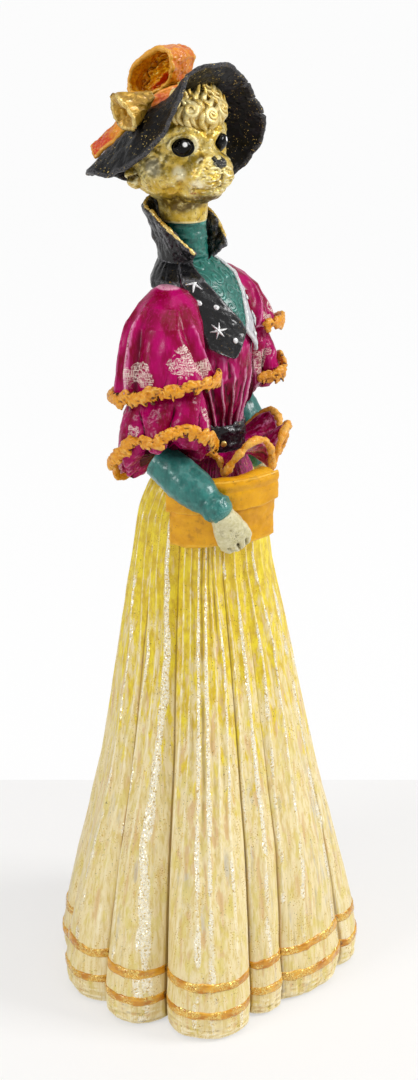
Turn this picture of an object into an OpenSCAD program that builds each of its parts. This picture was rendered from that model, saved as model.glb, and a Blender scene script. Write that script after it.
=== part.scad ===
// Cat figurine: a standing lady cat in a long pleated skirt, frilled sleeves and a picture hat.
// The figure faces -Y, its left hand is at +X, and the origin is the middle of its underside.

/* [Skirt] */
// Height of the skirt casting from its rim to the waist
skirt_h = 211; // [190:1:230]
// Widest radius of the hem
hem_r = 57.5; // [50:0.5:65]
// How far the skirt leans back at the bustle
bustle = 4.1; // [0:0.1:6]
// Depth of the fine pleats
pleat_depth = 0.7; // [0:0.1:1.5]
// Least wall between the waist and the hollow
skirt_wall = 4.5; // [3:0.1:6]
// Height of each gold hem band
band_h = 3.5; // [2:0.1:5]
// How far a hem band stands proud of the skirt
band_proud = 0.5; // [0.2:0.1:1]
// Height of the lower band over the rim
band_low_z = 9; // [6:0.5:12]
// Height of the upper band over the rim
band_high_z = 19.8; // [16:0.5:26]

/* [Base] */
// Radius of the plate that closes the hollow
plate_r = 34; // [30:1:36]
// Thickness of the base plate
plate_t = 4; // [3:0.5:6]
// Thickness of the felt under the figure
felt_t = 1; // [0.5:0.1:2]
// How far the felt reaches past the plate
felt_lap = 3; // [2:0.5:4]
// Width of the ledge that the base plate rests on
ledge_w = 2; // [1:0.1:3]

/* [Joining pins] */
// Diameter of the wooden dowel between skirt and bodice
dowel_d = 6; // [4:0.5:7]
// Length of the dowel
dowel_len = 34; // [28:1:40]
// Diameter of the steel pin in the neck
neck_pin_d = 3; // [2:0.5:4]
// Length of the neck pin
neck_pin_len = 32; // [26:1:36]
// Clearance round a pin and at the end of its hole
pin_gap = 0.15; // [0.1:0.05:0.3]
// Gap left between pieces that rest on each other
seat_gap = 0.25; // [0.2:0.05:0.3]

/* [Bodice] */
// Height of the bodice from waist to neck band
bodice_h = 65; // [55:1:75]
// Radius of the waist
waist_r = 10.6; // [9:0.1:12]
// Half width of the chest
chest_half_w = 15.5; // [13:0.5:17]
// How far the chest stands forward of the middle of the body
chest_front = 17.5; // [15:0.5:20]
// How far the back stands behind the middle of the body
chest_back = 13; // [11:0.5:15]
// How far the neck sits behind the waist
neck_set_back = 10.8; // [8:0.1:12]
// Height of the neck band of the blouse
neck_band_h = 14; // [10:0.5:18]
// Radius of the neck
neck_r = 7.4; // [6:0.1:9]
// Height of the belt
belt_h = 10; // [7:0.5:12]
// Thickness of the belt
belt_t = 1.4; // [1:0.1:2]
// Diameter of the belt stud
stud_d = 2.4; // [2:0.1:3]

/* [Jacket collar] */
// Thickness of the collar and the lapels
lapel_t = 1.5; // [1:0.1:2]
// Thickness of the blouse panel
panel_t = 0.8; // [0.5:0.1:1.2]
// Height of the collar at the back of the neck
collar_h = 19.5; // [16:0.5:24]
// Radius of the collar's rim
collar_rim_r = 13.2; // [11:0.1:16]
// Radius of the collar at its foot
collar_foot_r = 8.2; // [8:0.1:10]
// Diameter of the gold cord on the collar's rim
piping_d = 1.2; // [0.8:0.1:2]
// Radius of a painted star
star_r = 2.8; // [2:0.1:4]
// Thickness of the silver ornaments
star_t = 0.35; // [0.2:0.05:0.6]

/* [Peplum] */
// Mean radius of the peplum's edge
peplum_r = 25; // [22:0.5:28]
// Thickness of the peplum
peplum_t = 1.6; // [1:0.1:2.5]
// How far its waves rise and fall
peplum_wave = 6; // [3:0.5:8]
// Height of its mean edge over the waist
peplum_lift = 7; // [4:0.5:9]
// Width of the braid on its edge
braid_w = 2.6; // [1.5:0.1:4]

/* [Sleeves] */
// Distance of a sleeve's middle from the middle of the body
sleeve_x = 26; // [24:0.5:30]
// How far the shoulder lies below the neck seam
shoulder_drop = 5; // [3:0.5:8]
// Length of the puffed upper sleeve
puff_len = 33; // [28:1:38]
// Half width of the puff across the arm
puff_half_w = 13.5; // [11:0.5:16]
// Half depth of the puff from front to back
puff_half_d = 17; // [13:0.5:19]
// How much shorter the left puff is
left_short = 8; // [0:0.5:12]
// How far the left sleeve sits behind the right one
left_set_back = 8.5; // [0:0.5:10]
// Length of the frilled lower sleeve
flounce_len = 23; // [18:1:28]
// Half width of the frill's mouth
flounce_half_w = 13.5; // [11:0.5:16]
// Half depth of the frill's mouth
flounce_half_d = 17.5; // [13:0.5:20]
// Thickness of the frill where it lies against the body
frill_t = 1.2; // [1:0.1:2]
// Thickness of the frayed braid on the sleeves
fray_d = 3.2; // [2:0.1:4.5]

/* [Arms and bag] */
// Radius of the forearm at the sleeve
forearm_r = 7.4; // [6:0.1:9]
// Radius of the wrist
wrist_r = 4.6; // [3.5:0.1:6]
// Length of a paw
paw_len = 17; // [14:0.5:20]
// Half width of a paw
paw_half_w = 6; // [5:0.1:8]
// Height of the bag
bag_h = 24; // [20:0.5:28]
// Radius of the bag's curved front
bag_r = 30; // [28:0.5:33]
// Thickness of the bag
bag_t = 7; // [5:0.5:8]
// Thickness of the bag's flap
flap_t = 1.2; // [0.8:0.1:2]
// How far the bag's underside hangs below the waist
bag_drop = 29; // [24:1:34]

/* [Head] */
// Half width of the skull across the eyes
skull_half_w = 16; // [14:0.5:18]
// Reach of the muzzle forward of the middle of the head
muzzle_reach = 23.5; // [20:0.5:26]
// Depth of the chin below the middle of the head
chin_drop = 15; // [12:0.5:18]
// Diameter of an eye
eye_d = 8; // [6:0.1:10]
// How far an eye bulges out of the head
eye_bulge = 1.6; // [1:0.1:2.5]
// Width of the nose
nose_w = 5; // [4:0.1:7]
// Thickness of the curls on the brow
curl_t = 3.6; // [2:0.1:5]
// Radius of an ear
ear_r = 4.6; // [3:0.1:6]
// Height of the middle of the head over the neck seam
head_rise = 37; // [34:0.5:40]
// How far the head turns to the figure's right
head_turn = 17; // [0:1:30]

/* [Hat] */
// Mean radius of the brim
brim_r = 32; // [28:0.5:35]
// Thickness of the brim
brim_t = 1.8; // [1.2:0.1:2.5]
// Radius of the crown
crown_r = 12.5; // [10:0.5:15]
// Height of the crown
crown_h = 5.5; // [4:0.5:10]
// Height of the band round the crown
hat_band_h = 4.5; // [3:0.1:6]
// Thickness of the hat band
hat_band_t = 1.2; // [0.8:0.1:2]
// Width of the big bow's ribbon
bow_w = 13; // [9:0.5:16]
// Thickness of the bow's ribbon
bow_t = 2.6; // [1.6:0.1:3.2]
// How far the hat leans back
hat_lean = 40; // [30:1:50]
// How far the hat dips to the figure's left
hat_dip = 12; // [5:1:20]

/* [Hidden] */

// Common overrun of every cut past the surface that it opens
overrun = 1;
// Points round the skirt, the body and the small rings
SKIRT_N = 90;
BODY_N = 40;
SLEEVE_N = 32;
TUBE_N = 14;
FRAY_N = 5;

waist_z = felt_t + skirt_h;
belt_z = waist_z + seat_gap;
neck_z = waist_z + bodice_h;
shoulder_z = bodice_h - shoulder_drop;
bag_z = waist_z - bag_drop;
head_z = neck_z + head_rise;

function lerp(a, b, t) = a + (b - a) * t;
function unit(v) = v / norm(v);
function from_table(t, table) = lookup(t, table);
// Direction in the plan, turned from the front towards the figure's left
function plan_dir(turn) = [sin(turn), -cos(turn), 0];

// Closed solid through a stack of rings with the same number of points
module loft(rings) {
  n = len(rings[0]);
  m = len(rings);
  body = [for (r = rings) each r];
  first_mid = [for (r = [rings[0]]) let(s = [for (k = [0:n-1]) 1] * r) s / n];
  last_mid = [for (r = [rings[m-1]]) let(s = [for (k = [0:n-1]) 1] * r) s / n];
  walls = [for (i = [0:m-2], j = [0:n-1])
    let(a = i*n + j, b = i*n + (j+1)%n, c = a + n, d = b + n) each [[a, c, d], [a, d, b]]];
  bottom = [for (j = [0:n-1]) [m*n, j, (j+1)%n]];
  top = [for (j = [0:n-1]) [m*n + 1, (m-1)*n + (j+1)%n, (m-1)*n + j]];
  polyhedron(points = concat(body, first_mid, last_mid), faces = concat(walls, bottom, top));
}

// Closed hoop through sections that come back to the first one
module hoop(sections) {
  n = len(sections[0]);
  m = len(sections);
  walls = [for (i = [0:m-1], j = [0:n-1])
    let(a = i*n + j, b = i*n + (j+1)%n, c = ((i+1)%m)*n + j, d = ((i+1)%m)*n + (j+1)%n)
      each [[a, c, d], [a, d, b]]];
  polyhedron(points = [for (s = sections) each s], faces = walls);
}

// Closed solid between two grids of points, the second lying behind the first
module sheet(front, back, wrap = false) {
  m = len(front);
  n = len(front[0]);
  o = m * n;
  last = wrap ? n - 1 : n - 2;
  faces = [for (i = [0:m-2], j = [0:last])
    let(a = i*n + j, b = i*n + (j+1)%n, c = a + n, d = b + n)
      each [[a, c, d], [a, d, b], [o+a, o+d, o+c], [o+a, o+b, o+d]]];
  ends = [for (j = [0:last]) let(b = (j+1)%n, t = (m-1)*n)
    each [[j, b, o+b], [j, o+b, o+j], [t+j, o+t+b, t+b], [t+j, o+t+j, o+t+b]]];
  sides = wrap ? [] : [for (i = [0:m-2]) let(a = i*n, c = a + n, b = a + n - 1, d = c + n - 1)
    each [[a, o+a, o+c], [a, o+c, c], [b, o+d, o+b], [b, d, o+d]]];
  polyhedron(points = concat([for (r = front) each r], [for (r = back) each r]),
    faces = concat(faces, ends, sides));
}

// Ring of n points round an axis, with its own half width and half height
function tube_ring(p, axis, side, rw, rh, n) =
  let(w = unit(cross(side, axis)), s = unit(cross(axis, w)))
  [for (k = [0:n-1]) p + s * rw * cos(360*k/n) - w * rh * sin(360*k/n)];

// Skirt shapes
// Creases of the hem, as turns from the front towards the left
crease_turn = [-172, -136, -104, -76, -36, -16, 24, 56, 92, 124, 152, 188];
// Radius of each crease as a share of the hem's radius
crease_share = [0.87, 0.87, 0.861, 0.774, 0.748, 0.722, 0.87, 0.852, 0.835, 0.852, 0.87, 0.87];
// Swell of the lobe after each crease as a share of the hem's radius
swell_share = [0.155, 0.169, 0.183, 0.247, 0.07, 0.052, 0.13, 0.155, 0.155, 0.155, 0.155];
// Radius of the skirt over its height, as a share of the way from its top's radius to the hem's
skirt_r_share = [[0, 0.957], [0.01, 0.988], [0.03, 1.0], [0.057, 1.0], [0.121, 0.951], [0.179, 0.895],
  [0.297, 0.765], [0.415, 0.633], [0.5, 0.556], [0.611, 0.463], [0.684, 0.405], [0.792, 0.311],
  [0.882, 0.256], [0.929, 0.195], [0.967, 0.105], [1, 0]];
skirt_top_r = waist_r * 1.03;
// Height share where the fine pleats reach their depth over the rim, and where they start to fade at the top
pleat_full_share = 0.083;
pleat_end_share = 0.875;
// How much of the lobes is left over the height
lobe_fade_share = [[0, 1], [0.12, 1], [0.3, 0.62], [0.5, 0.42], [0.68, 0.32], [0.88, 0.25], [1, 0]];
// How much of the lean is taken up over the height
lean_share = [[0, 0], [0.3, 0.15], [0.5, 0.41], [0.68, 0.78], [0.79, 1], [0.9, 0.93], [0.967, 0.5],
  [1, 0.12]];
PLEATS = 18;

function lobe_at(turn) =
  let(last = crease_turn[len(crease_turn)-1],
      t = turn < crease_turn[0] ? turn + 360 : (turn > last ? turn - 360 : turn),
      k = [for (i = [0:len(swell_share)-1]) if (t >= crease_turn[i] && t <= crease_turn[i+1]) i][0],
      s = (t - crease_turn[k]) / (crease_turn[k+1] - crease_turn[k]))
  lerp(crease_share[k], crease_share[k+1], s) + swell_share[k] * pow(1 - pow(abs(2*s - 1), 2.2), 0.6);

function pleat_fade(share) = (1 - share*0.5) * min(1, share/pleat_full_share)
  * min(1, (1 - share)/(1 - pleat_end_share));
function skirt_r(turn, share) = lerp(skirt_top_r, hem_r, from_table(share, skirt_r_share))
  * (1 - (1 - lobe_at(turn)) * from_table(share, lobe_fade_share))
  + pleat_depth * pleat_fade(share) * cos(PLEATS*turn);
function skirt_mid(share) = [0, bustle * from_table(share, lean_share), 0];
function skirt_point(turn, z, off = 0) =
  let(share = z / skirt_h)
  skirt_mid(share) + plan_dir(turn) * (skirt_r(turn, share) + off) + [0, 0, felt_t + z];
function skirt_ring(z, off = 0) = [for (k = [0:SKIRT_N-1]) skirt_point(-180 + 360*k/SKIRT_N, z, off)];

band_zs = [band_low_z, band_low_z + band_h, band_high_z, band_high_z + band_h];
hollow_top_share = 0.9;
level_share = [0.2, 0.4, 0.6, 0.79, 0.9, 0.967, 1];

module felt_pad() {
  color("darkolivegreen") cylinder(h = felt_t, r = plate_r + felt_lap, $fn = 64);
}

module base_plate() {
  color("tan") translate([0, 0, felt_t]) cylinder(h = plate_t, r = plate_r, $fn = 64);
}

module skirt() {
  color([0.91, 0.83, 0.49]) difference() {
    loft(concat([skirt_ring(0), skirt_ring(band_low_z/4)], [for (z = band_zs) skirt_ring(z)],
      [for (s = level_share) skirt_ring(skirt_h*s)]));
    translate([0, 0, felt_t]) rotate_extrude($fn = 64)
      polygon([[0, -overrun], [plate_r + seat_gap, -overrun], [plate_r + seat_gap, plate_t + seat_gap],
        [plate_r - ledge_w, plate_t + seat_gap], [hem_r*0.3 - skirt_wall, skirt_h*hollow_top_share],
        [0, skirt_h*hollow_top_share]]);
    translate([0, 0, waist_z - dowel_len/2 - pin_gap])
      cylinder(h = dowel_len, d = dowel_d + 2*pin_gap, $fn = 32);
  }
}

module hem_band(z) {
  hoop([for (k = [0:SKIRT_N-1]) let(t = -180 + 360*k/SKIRT_N)
    [skirt_point(t, z), skirt_point(t, z + band_h), skirt_point(t, z + band_h, band_proud),
     skirt_point(t, z, band_proud)]]);
}

module hem_band_lower() { color([0.77, 0.48, 0.05]) hem_band(band_low_z); }
module hem_band_upper() { color([0.77, 0.48, 0.05]) hem_band(band_high_z); }

// Joining pins
neck_pin_y = neck_set_back - pin_gap;
neck_pin_z = neck_z - neck_pin_len*0.2;

module waist_dowel() {
  color("burlywood") translate([0, 0, waist_z - dowel_len/2])
    cylinder(h = dowel_len, d = dowel_d, $fn = 48);
}

module neck_pin() {
  color("silver") translate([0, neck_pin_y, neck_pin_z])
    cylinder(h = neck_pin_len, d = neck_pin_d, $fn = 32);
}

// Bodice shapes
// Half width, front and back of the body over the bodice's height, as shares of the chest's sizes
body_w_share = [[0, 0], [0.17, 0], [0.28, 0.3], [0.42, 0.75], [0.58, 1],
  [0.83, 1], [0.92, 0.8], [0.97, 0.1], [1, -0.53]];
body_f_share = [[0, 0], [0.17, 0], [0.28, 0.35], [0.42, 0.8], [0.58, 1],
  [0.7, 0.95], [0.83, 0.65], [0.92, 0.3], [1, -0.38]];
body_b_share = [[0, 0], [0.17, 0], [0.28, 0.2], [0.42, 0.6], [0.58, 1],
  [0.7, 1], [0.83, 0.8], [0.92, 0.3], [1, -1.08]];
// Setting back of the body's middle, as shares of the neck's
body_y_share = [[0, 0], [0.17, 0], [0.28, 0.05], [0.42, 0.17], [0.58, 0.3],
  [0.7, 0.45], [0.83, 0.62], [0.92, 0.78], [1, 1]];
body_level_share = [0, 0.17, 0.28, 0.42, 0.5, 0.58, 0.7, 0.83, 0.92, 0.97, 1];

function body_w(s) = waist_r + (chest_half_w - waist_r) * from_table(s, body_w_share);
function body_f(s) = waist_r + (chest_front - waist_r) * from_table(s, body_f_share);
function body_b(s) = waist_r + (chest_back - waist_r) * from_table(s, body_b_share);
function body_mid(s) = neck_set_back * from_table(s, body_y_share);
function body_share(z) = (z - waist_z) / bodice_h;
function body_point(turn, z, off = 0) =
  let(s = body_share(z), f = cos(turn) > 0 ? body_f(s) : body_b(s))
  [(body_w(s) + off) * sin(turn), body_mid(s) - (f + off) * cos(turn), z];
function body_ring(z, off = 0) = [for (k = [0:BODY_N-1]) body_point(360*k/BODY_N, z, off)];
// Rows of a patch on the body, at its ends and at each level of the body between them
function patch_zs(z0, z1) = concat([z0], [for (s = body_level_share) let(z = waist_z + bodice_h*s)
    if (z > z0 + seat_gap && z < z1 - seat_gap) z], [z1]);

module bodice() {
  color([0.66, 0, 0.32]) difference() {
    loft([for (s = body_level_share) body_ring(waist_z + max(seat_gap/2, bodice_h*s))]);
    translate([0, 0, waist_z - overrun])
      cylinder(h = overrun + dowel_len/2 + pin_gap, d = dowel_d + 2*pin_gap, $fn = 48);
    translate([0, neck_pin_y, neck_pin_z - pin_gap])
      cylinder(h = neck_pin_len, d = neck_pin_d + 2*pin_gap, $fn = 32);
  }
}

module belt() {
  color([0.13, 0.13, 0.14]) translate([0, 0, belt_z]) difference() {
    cylinder(h = belt_h, r = waist_r + pin_gap + belt_t, $fn = 48);
    translate([0, 0, -overrun]) cylinder(h = belt_h + 2*overrun, r = waist_r + pin_gap, $fn = 48);
  }
}

stud_turn = -35;
module belt_stud() {
  color("gold") translate(plan_dir(stud_turn) * (waist_r + pin_gap + belt_t) + [0, 0, belt_z + belt_h/3])
    rotate([90, 0, stud_turn]) translate([0, 0, pin_gap]) cylinder(h = stud_d/3, d = stud_d, $fn = 24);
}

// Neck band of the blouse, leaning back with the neck
neck_mid = [0, neck_set_back, 0];
module blouse_neck() {
  color([0.12, 0.38, 0.36]) difference() {
    loft([for (s = [0, 0.35, 0.7, 1])
      [for (k = [0:BODY_N-1]) let(t = 360*k/BODY_N, foot = body_point(t, neck_z, 0))
        lerp(foot, neck_mid + plan_dir(t)*neck_r + [0, 0, neck_z], min(1, s*1.4))
        + [0, 0, pin_gap + (neck_band_h - pin_gap)*s]]]);
    translate([0, neck_pin_y, neck_z - overrun])
      cylinder(h = neck_band_h + 2*overrun, d = neck_pin_d + 2*pin_gap, $fn = 32);
  }
}

// Lapels and blouse panel
v_z = waist_z + bodice_h*0.66;
lapel_foot_z = waist_z + bodice_h*0.54;
PATCH_N = 8;
v_turn = 44;
lapel_gap_turn = 1.5;
lapel_tip_turn = 22;
// Turn of the lapel's outer edge over its height share
lapel_outer_turn = [[0, 26], [0.12, 50], [0.6, 58], [1, 66]];
lapel_lift = seat_gap;
yoke_z = waist_z + bodice_h*0.885;
yoke_turn = 69;
function lapel_inner(z) = lapel_gap_turn + (z > v_z ? v_turn * (z - v_z) / (neck_z - v_z)
  : (v_z - z) / (v_z - lapel_foot_z) * lapel_tip_turn);
function lapel_outer(z) = from_table((z - lapel_foot_z) / (neck_z - lapel_foot_z), lapel_outer_turn);

module body_patch(z0, z1, lift, thick, side) {
  zs = concat([z0, lerp(z0, v_z, 0.4)], patch_zs(v_z, z1));
  grid = [for (z = zs) [for (j = [0:PATCH_N]) [z, lerp(lapel_inner(z), lapel_outer(z), j/PATCH_N)]]];
  front = [for (row = grid) [for (q = row) body_point(q[1], q[0], lift + thick)]];
  back = [for (row = grid) [for (q = row) body_point(q[1], q[0], lift)]];
  mirror([side, 0, 0]) sheet(front, back);
}

module lapel_right() {
  color([0.16, 0.16, 0.17]) body_patch(lapel_foot_z, neck_z - seat_gap, lapel_lift, lapel_t, 1);
}
module lapel_left() {
  color([0.72, 0.72, 0.75]) body_patch(lapel_foot_z, neck_z - seat_gap, lapel_lift, lapel_t, 0);
}

module blouse_panel() {
  grid = [for (z = patch_zs(v_z + lapel_t, neck_z - seat_gap)) let(e = lapel_inner(z) - lapel_gap_turn)
    [for (j = [0:PATCH_N]) [z, lerp(-e, e, j/PATCH_N)]]];
  color([0.12, 0.38, 0.36])
    sheet([for (row = grid) [for (q = row) body_point(q[1], q[0], seat_gap + panel_t)]],
      [for (row = grid) [for (q = row) body_point(q[1], q[0], seat_gap)]]);
}

// Standing collar
COLLAR_N = 24;
collar_open_turn = 43;
// Height of the rim over its lowest point, from the open front to the back of the neck
collar_rise_share = [[0, 0], [0.25, 0.5], [0.47, 0.85], [1, 1]];
collar_low_z = neck_z + neck_band_h*0.3;
collar_z0 = neck_z + seat_gap;
function collar_turn(j) = lerp(collar_open_turn, 360 - collar_open_turn, j/COLLAR_N);
function collar_rim_z(turn) = let(s = 1 - abs(180 - turn)/(180 - collar_open_turn))
  collar_low_z + (collar_h - (collar_low_z - collar_z0)) * from_table(s, collar_rise_share);
function collar_point(turn, s, off) =
  let(r = lerp(collar_foot_r, collar_rim_r, pow(s, 1.8)), z = lerp(collar_z0, collar_rim_z(turn), s))
  neck_mid + plan_dir(turn) * (r + off) + [0, 0, z];
COLLAR_M = 4;

module collar() {
  // The collar's foot spreads over the shoulders behind the lapels
  zs = patch_zs(yoke_z, neck_z + 2*seat_gap);
  function yoke_row(z, off) = [for (j = [0:COLLAR_N])
    body_point(lerp(yoke_turn, 360 - yoke_turn, j/COLLAR_N), z, off)];
  function collar_row(i, off) = [for (j = [0:COLLAR_N]) collar_point(collar_turn(j), i/COLLAR_M, off)];
  color([0.14, 0.14, 0.15]) {
    sheet([for (i = [0:COLLAR_M]) collar_row(i, lapel_t)], [for (i = [0:COLLAR_M]) collar_row(i, 0)]);
    sheet([for (z = zs) yoke_row(z, seat_gap + lapel_t)], [for (z = zs) yoke_row(z, seat_gap)]);
  }
}

module collar_piping() {
  r = piping_d/2;
  color([0.72, 0.6, 0.25]) loft([for (j = [0:COLLAR_N]) let(t = collar_turn(j),
      p = collar_point(t, 1, lapel_t/2) + [0, 0, r + pin_gap], out = plan_dir(t))
    [for (k = [0:5]) p + out*r*cos(60*k) - [0, 0, r*sin(60*k)]]]);
}

// Silver ornaments on the lapels
// Height share on the lapel, share across it and size share of each star or dot
star_share = [[0.84, 0.42, 1], [0.33, 0.68, 1], [0.58, 0.3, 0.32], [0.64, 0.75, 0.35], [0.2, 0.3, 0.35]];
module star_on(q) {
  z = lerp(lapel_foot_z, neck_z, q[0]);
  turn = lerp(lapel_inner(z), lapel_outer(z), q[1]);
  n = q[2] > 0.5 ? 12 : 8;
  function star_ring(off) = [for (k = [0:n-1])
    let(a = 360*k/n, r = star_r*q[2]*(n == 12 && k % 2 == 1 ? 0.34 : 1))
    body_point(turn + r*cos(a)/body_f(body_share(z))*180/PI, z + r*sin(a)*0.9, off)];
  foot = lapel_lift + lapel_t + 2*seat_gap;
  loft([star_ring(foot), star_ring(foot + star_t)]);
}
module silver_ornaments() {
  color([0.85, 0.85, 0.87]) for (side = [0, 1]) mirror([side, 0, 0]) for (q = star_share) star_on(q);
}

// Peplum
PEPLUM_N = 64;
PEPLUM_M = 3;
peplum_waves = 8;
peplum_phase = 20;
peplum_foot_z = waist_z + 2*seat_gap;
// Outer radius and rise of the peplum by turn, as shares: it lies low and close under the sleeves
peplum_flare_share = [[-180, 0.86], [-150, 0.78], [-120, 0.62], [-55, 0.62], [-42, 0.8], [-28, 1],
  [50, 1], [70, 0.98], [88, 0.66], [120, 0.62], [140, 0.74], [180, 0.86]];
peplum_raise_share = [[-180, 0.5], [-140, 0.3], [-110, 0], [-55, 0], [-40, 0.12], [-20, 0.3],
  [45, 0.3], [70, 0.24], [90, 0], [110, 0], [140, 0.3], [180, 0.5]];
function signed(turn) = turn > 180 ? turn - 360 : turn;
function peplum_point(turn, s, off) =
  let(a = signed(turn), wave = cos(peplum_waves*(turn + peplum_phase)),
      flare = from_table(a, peplum_flare_share), raise = from_table(a, peplum_raise_share),
      wave_h = peplum_wave*max(0.3, (flare - 0.4)/0.6),
      r0 = waist_r + belt_t + seat_gap,
      r = lerp(r0, peplum_r*flare + peplum_wave*wave/6, s),
      z = peplum_foot_z - peplum_t + s*(peplum_lift*raise + wave_h*wave*(0.3 + 0.7*s)))
  plan_dir(turn + 6*s*sin(peplum_waves*(turn + peplum_phase))) * r + [0, 0, z + off];
peplum_turns = [for (k = [0:PEPLUM_N-1]) 360*k/PEPLUM_N];

module peplum() {
  color([0.62, 0, 0.3])
    sheet([for (i = [0:PEPLUM_M]) [for (t = peplum_turns) peplum_point(t, i/PEPLUM_M, 0)]],
      [for (i = [0:PEPLUM_M]) [for (t = peplum_turns) peplum_point(t, i/PEPLUM_M, peplum_t)]], true);
}

module peplum_braid() {
  color([0.85, 0.54, 0.06]) hoop([for (t = peplum_turns)
    let(e = peplum_point(t, 1, -pin_gap), out = unit(e - peplum_point(t, 0.75, -pin_gap)),
      h = peplum_t + 2*pin_gap)
      [e + out*pin_gap, e + out*pin_gap + [0, 0, h], e + out*braid_w + [0, 0, h], e + out*braid_w]]);
}

// Sleeves, as made for the figure's right side and mirrored for the left
// Turn that the body needs beyond a lapel's outer edge before a sleeve may touch it
lapel_side_turn = 9;
// Where the sleeves meet the body or its lapels, as a place across the body
function sleeve_wall(y, z) =
  let(s = body_share(z), mid = body_mid(s), f = seat_gap + (y < mid ? body_f(s) : body_b(s)),
      k = max(-1, min(1, (y - mid)/f)),
      on_lapel = z > yoke_z - 3*lapel_t
        || (z > lapel_foot_z - lapel_t && acos(-k) < lapel_outer(z) + lapel_side_turn),
      off = on_lapel ? lapel_t + 4*seat_gap : seat_gap, e = max(-1, min(1, (y - mid)/(f + off))))
  -(body_w(s) + off)*sqrt(1 - e*e);
// Height, half width, half depth, outward place and setting back of the puff's rings, as shares
puff_ring_share = [[0, 0.2, 0.18, 0.76, 0.24], [0.05, 0.45, 0.38, 0.74, 0.22],
  [0.16, 0.7, 0.6, 0.8, 0.19], [0.34, 0.88, 0.76, 0.9, 0.16], [0.55, 0.96, 0.84, 0.96, 0.13],
  [0.78, 1, 0.93, 1, 0.1], [1, 1.04, 1.04, 1, 0.08]];
puff_tilt = 0.25;
puff_mid_y = waist_r*0.25;
// Length of the puff and setting back of each arm
right_arm = [puff_len, 0];
left_arm = [puff_len - left_short, left_set_back];
function sleeve_clip(p) = [min(p[0], sleeve_wall(p[1], p[2])), p[1], p[2]];
function puff_ring(q, arm, off = 0) =
  let(z = waist_z + shoulder_z - arm[0]*q[0], mid = [-sleeve_x*q[3], puff_half_d*q[4] + arm[1], 0])
  [for (k = [0:SLEEVE_N-1]) let(t = 360*k/SLEEVE_N, d = plan_dir(t),
      p = mid + [d[0]*(puff_half_w*q[1] + off), d[1]*(puff_half_d*q[2] + off), 0])
    sleeve_clip(p + [0, 0, z - puff_tilt*q[0]*q[0]*(p[1] - mid[1])])];
PUFF_LAST = len(puff_ring_share) - 1;
module sleeve(arm) {
  color([0.68, 0, 0.36]) loft([for (k = [PUFF_LAST:-1:0]) puff_ring(puff_ring_share[k], arm)]);
}

// How far the middle of the braid stands off the sleeve
fray_out = fray_d*0.52 + seat_gap;
// Rough cord of braid that follows a line of points
module fray(line, d, seed) {
  n = len(line);
  wob = rands(-1, 1, n*3, seed);
  loft([for (k = [0:n-1]) let(a = line[max(0, k - 1)], b = line[min(n - 1, k + 1)], w = unit(b - a),
      s = unit(cross(w, [0, 0, 1])), u = cross(s, w), r = d/2*(1 + 0.18*wob[3*k]))
    [for (j = [0:FRAY_N-1]) line[k] + s*r*cos(360*j/FRAY_N) - u*r*sin(360*j/FRAY_N)
      + (s*wob[3*k+1] + u*wob[3*k+2])*d*0.06]]);
}
// The part of a ring that stands clear of the body, starting beside the body at the back
function clear_part(ring, room) = [for (k = [0:SLEEVE_N-1]) let(p = ring[(k + SLEEVE_N/4) % SLEEVE_N])
  if (p[0] < sleeve_wall(p[1], p[2]) - room && norm([p[0], p[1]]) > flounce_clear_r + room) p];

module sleeve_braid(arm) {
  color([0.85, 0.54, 0.06])
    fray(clear_part(puff_ring(puff_ring_share[PUFF_LAST], arm, fray_out), fray_d), fray_d, 11);
}

// Slopes of the frill's mouth: it rises outwards and forwards, so the mouth looks out and down.
// The floor of the mouth stands below its rim, as the end of an inner sleeve
mouth_slope = [-0.45, -0.5];
flounce_waves = 6;
floor_place = 1.12;
floor_share = 0.78;
function puff_end(arm) = [-sleeve_x, puff_half_d*0.08 + arm[1], waist_z + shoulder_z - arm[0]];
function mouth_mid(arm) =
  [-sleeve_x - flounce_half_w*0.1, puff_mid_y*0.4 + arm[1], puff_end(arm)[2] - flounce_len];
function flounce_slope(s) = [mouth_slope[0]*s, lerp(-puff_tilt, mouth_slope[1], s)];
// The frill keeps clear of the peplum under it
flounce_clear_r = peplum_r*0.62 + braid_w + 9*seat_gap;
function flounce_clip(p, inset) = let(q = sleeve_clip(p + [inset, 0, 0]), r = flounce_clear_r)
  [(abs(q[1]) < r ? min(q[0], -sqrt(r*r - q[1]*q[1])) : q[0]) - inset, q[1], q[2]];
function flounce_ring(s, share, arm, off = 0, inset = 0) =
  let(mid = lerp(puff_end(arm), mouth_mid(arm), s), slope = flounce_slope(s))
  [for (k = [0:SLEEVE_N-1]) let(t = 360*k/SLEEVE_N, d = plan_dir(t),
      ripple = cos(flounce_waves*t + 40), wide = share*(1 + 0.07*s*ripple),
      x = d[0]*(flounce_half_w*wide + off), y = d[1]*(flounce_half_d*wide + off),
      drop = s*flounce_half_w*0.12*ripple + (s == 0 ? seat_gap : 0))
    flounce_clip(mid + [x, y, slope[0]*x + slope[1]*y - drop], inset)];

module flounce(arm) {
  rings = [flounce_ring(0, 0.72, arm), flounce_ring(0.3, 0.84, arm), flounce_ring(0.65, 0.93, arm),
    flounce_ring(1, 1, arm), flounce_ring(0.96, 0.9, arm, 0, frill_t),
    flounce_ring(floor_place, floor_share, arm, 0, frill_t)];
  color([0.66, 0, 0.32]) loft([for (k = [len(rings)-1:-1:0]) rings[k]]);
}
module flounce_braid(arm) {
  color([0.85, 0.54, 0.06]) fray(clear_part(flounce_ring(1, 1, arm, fray_out), fray_d), fray_d, 23);
}

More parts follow.
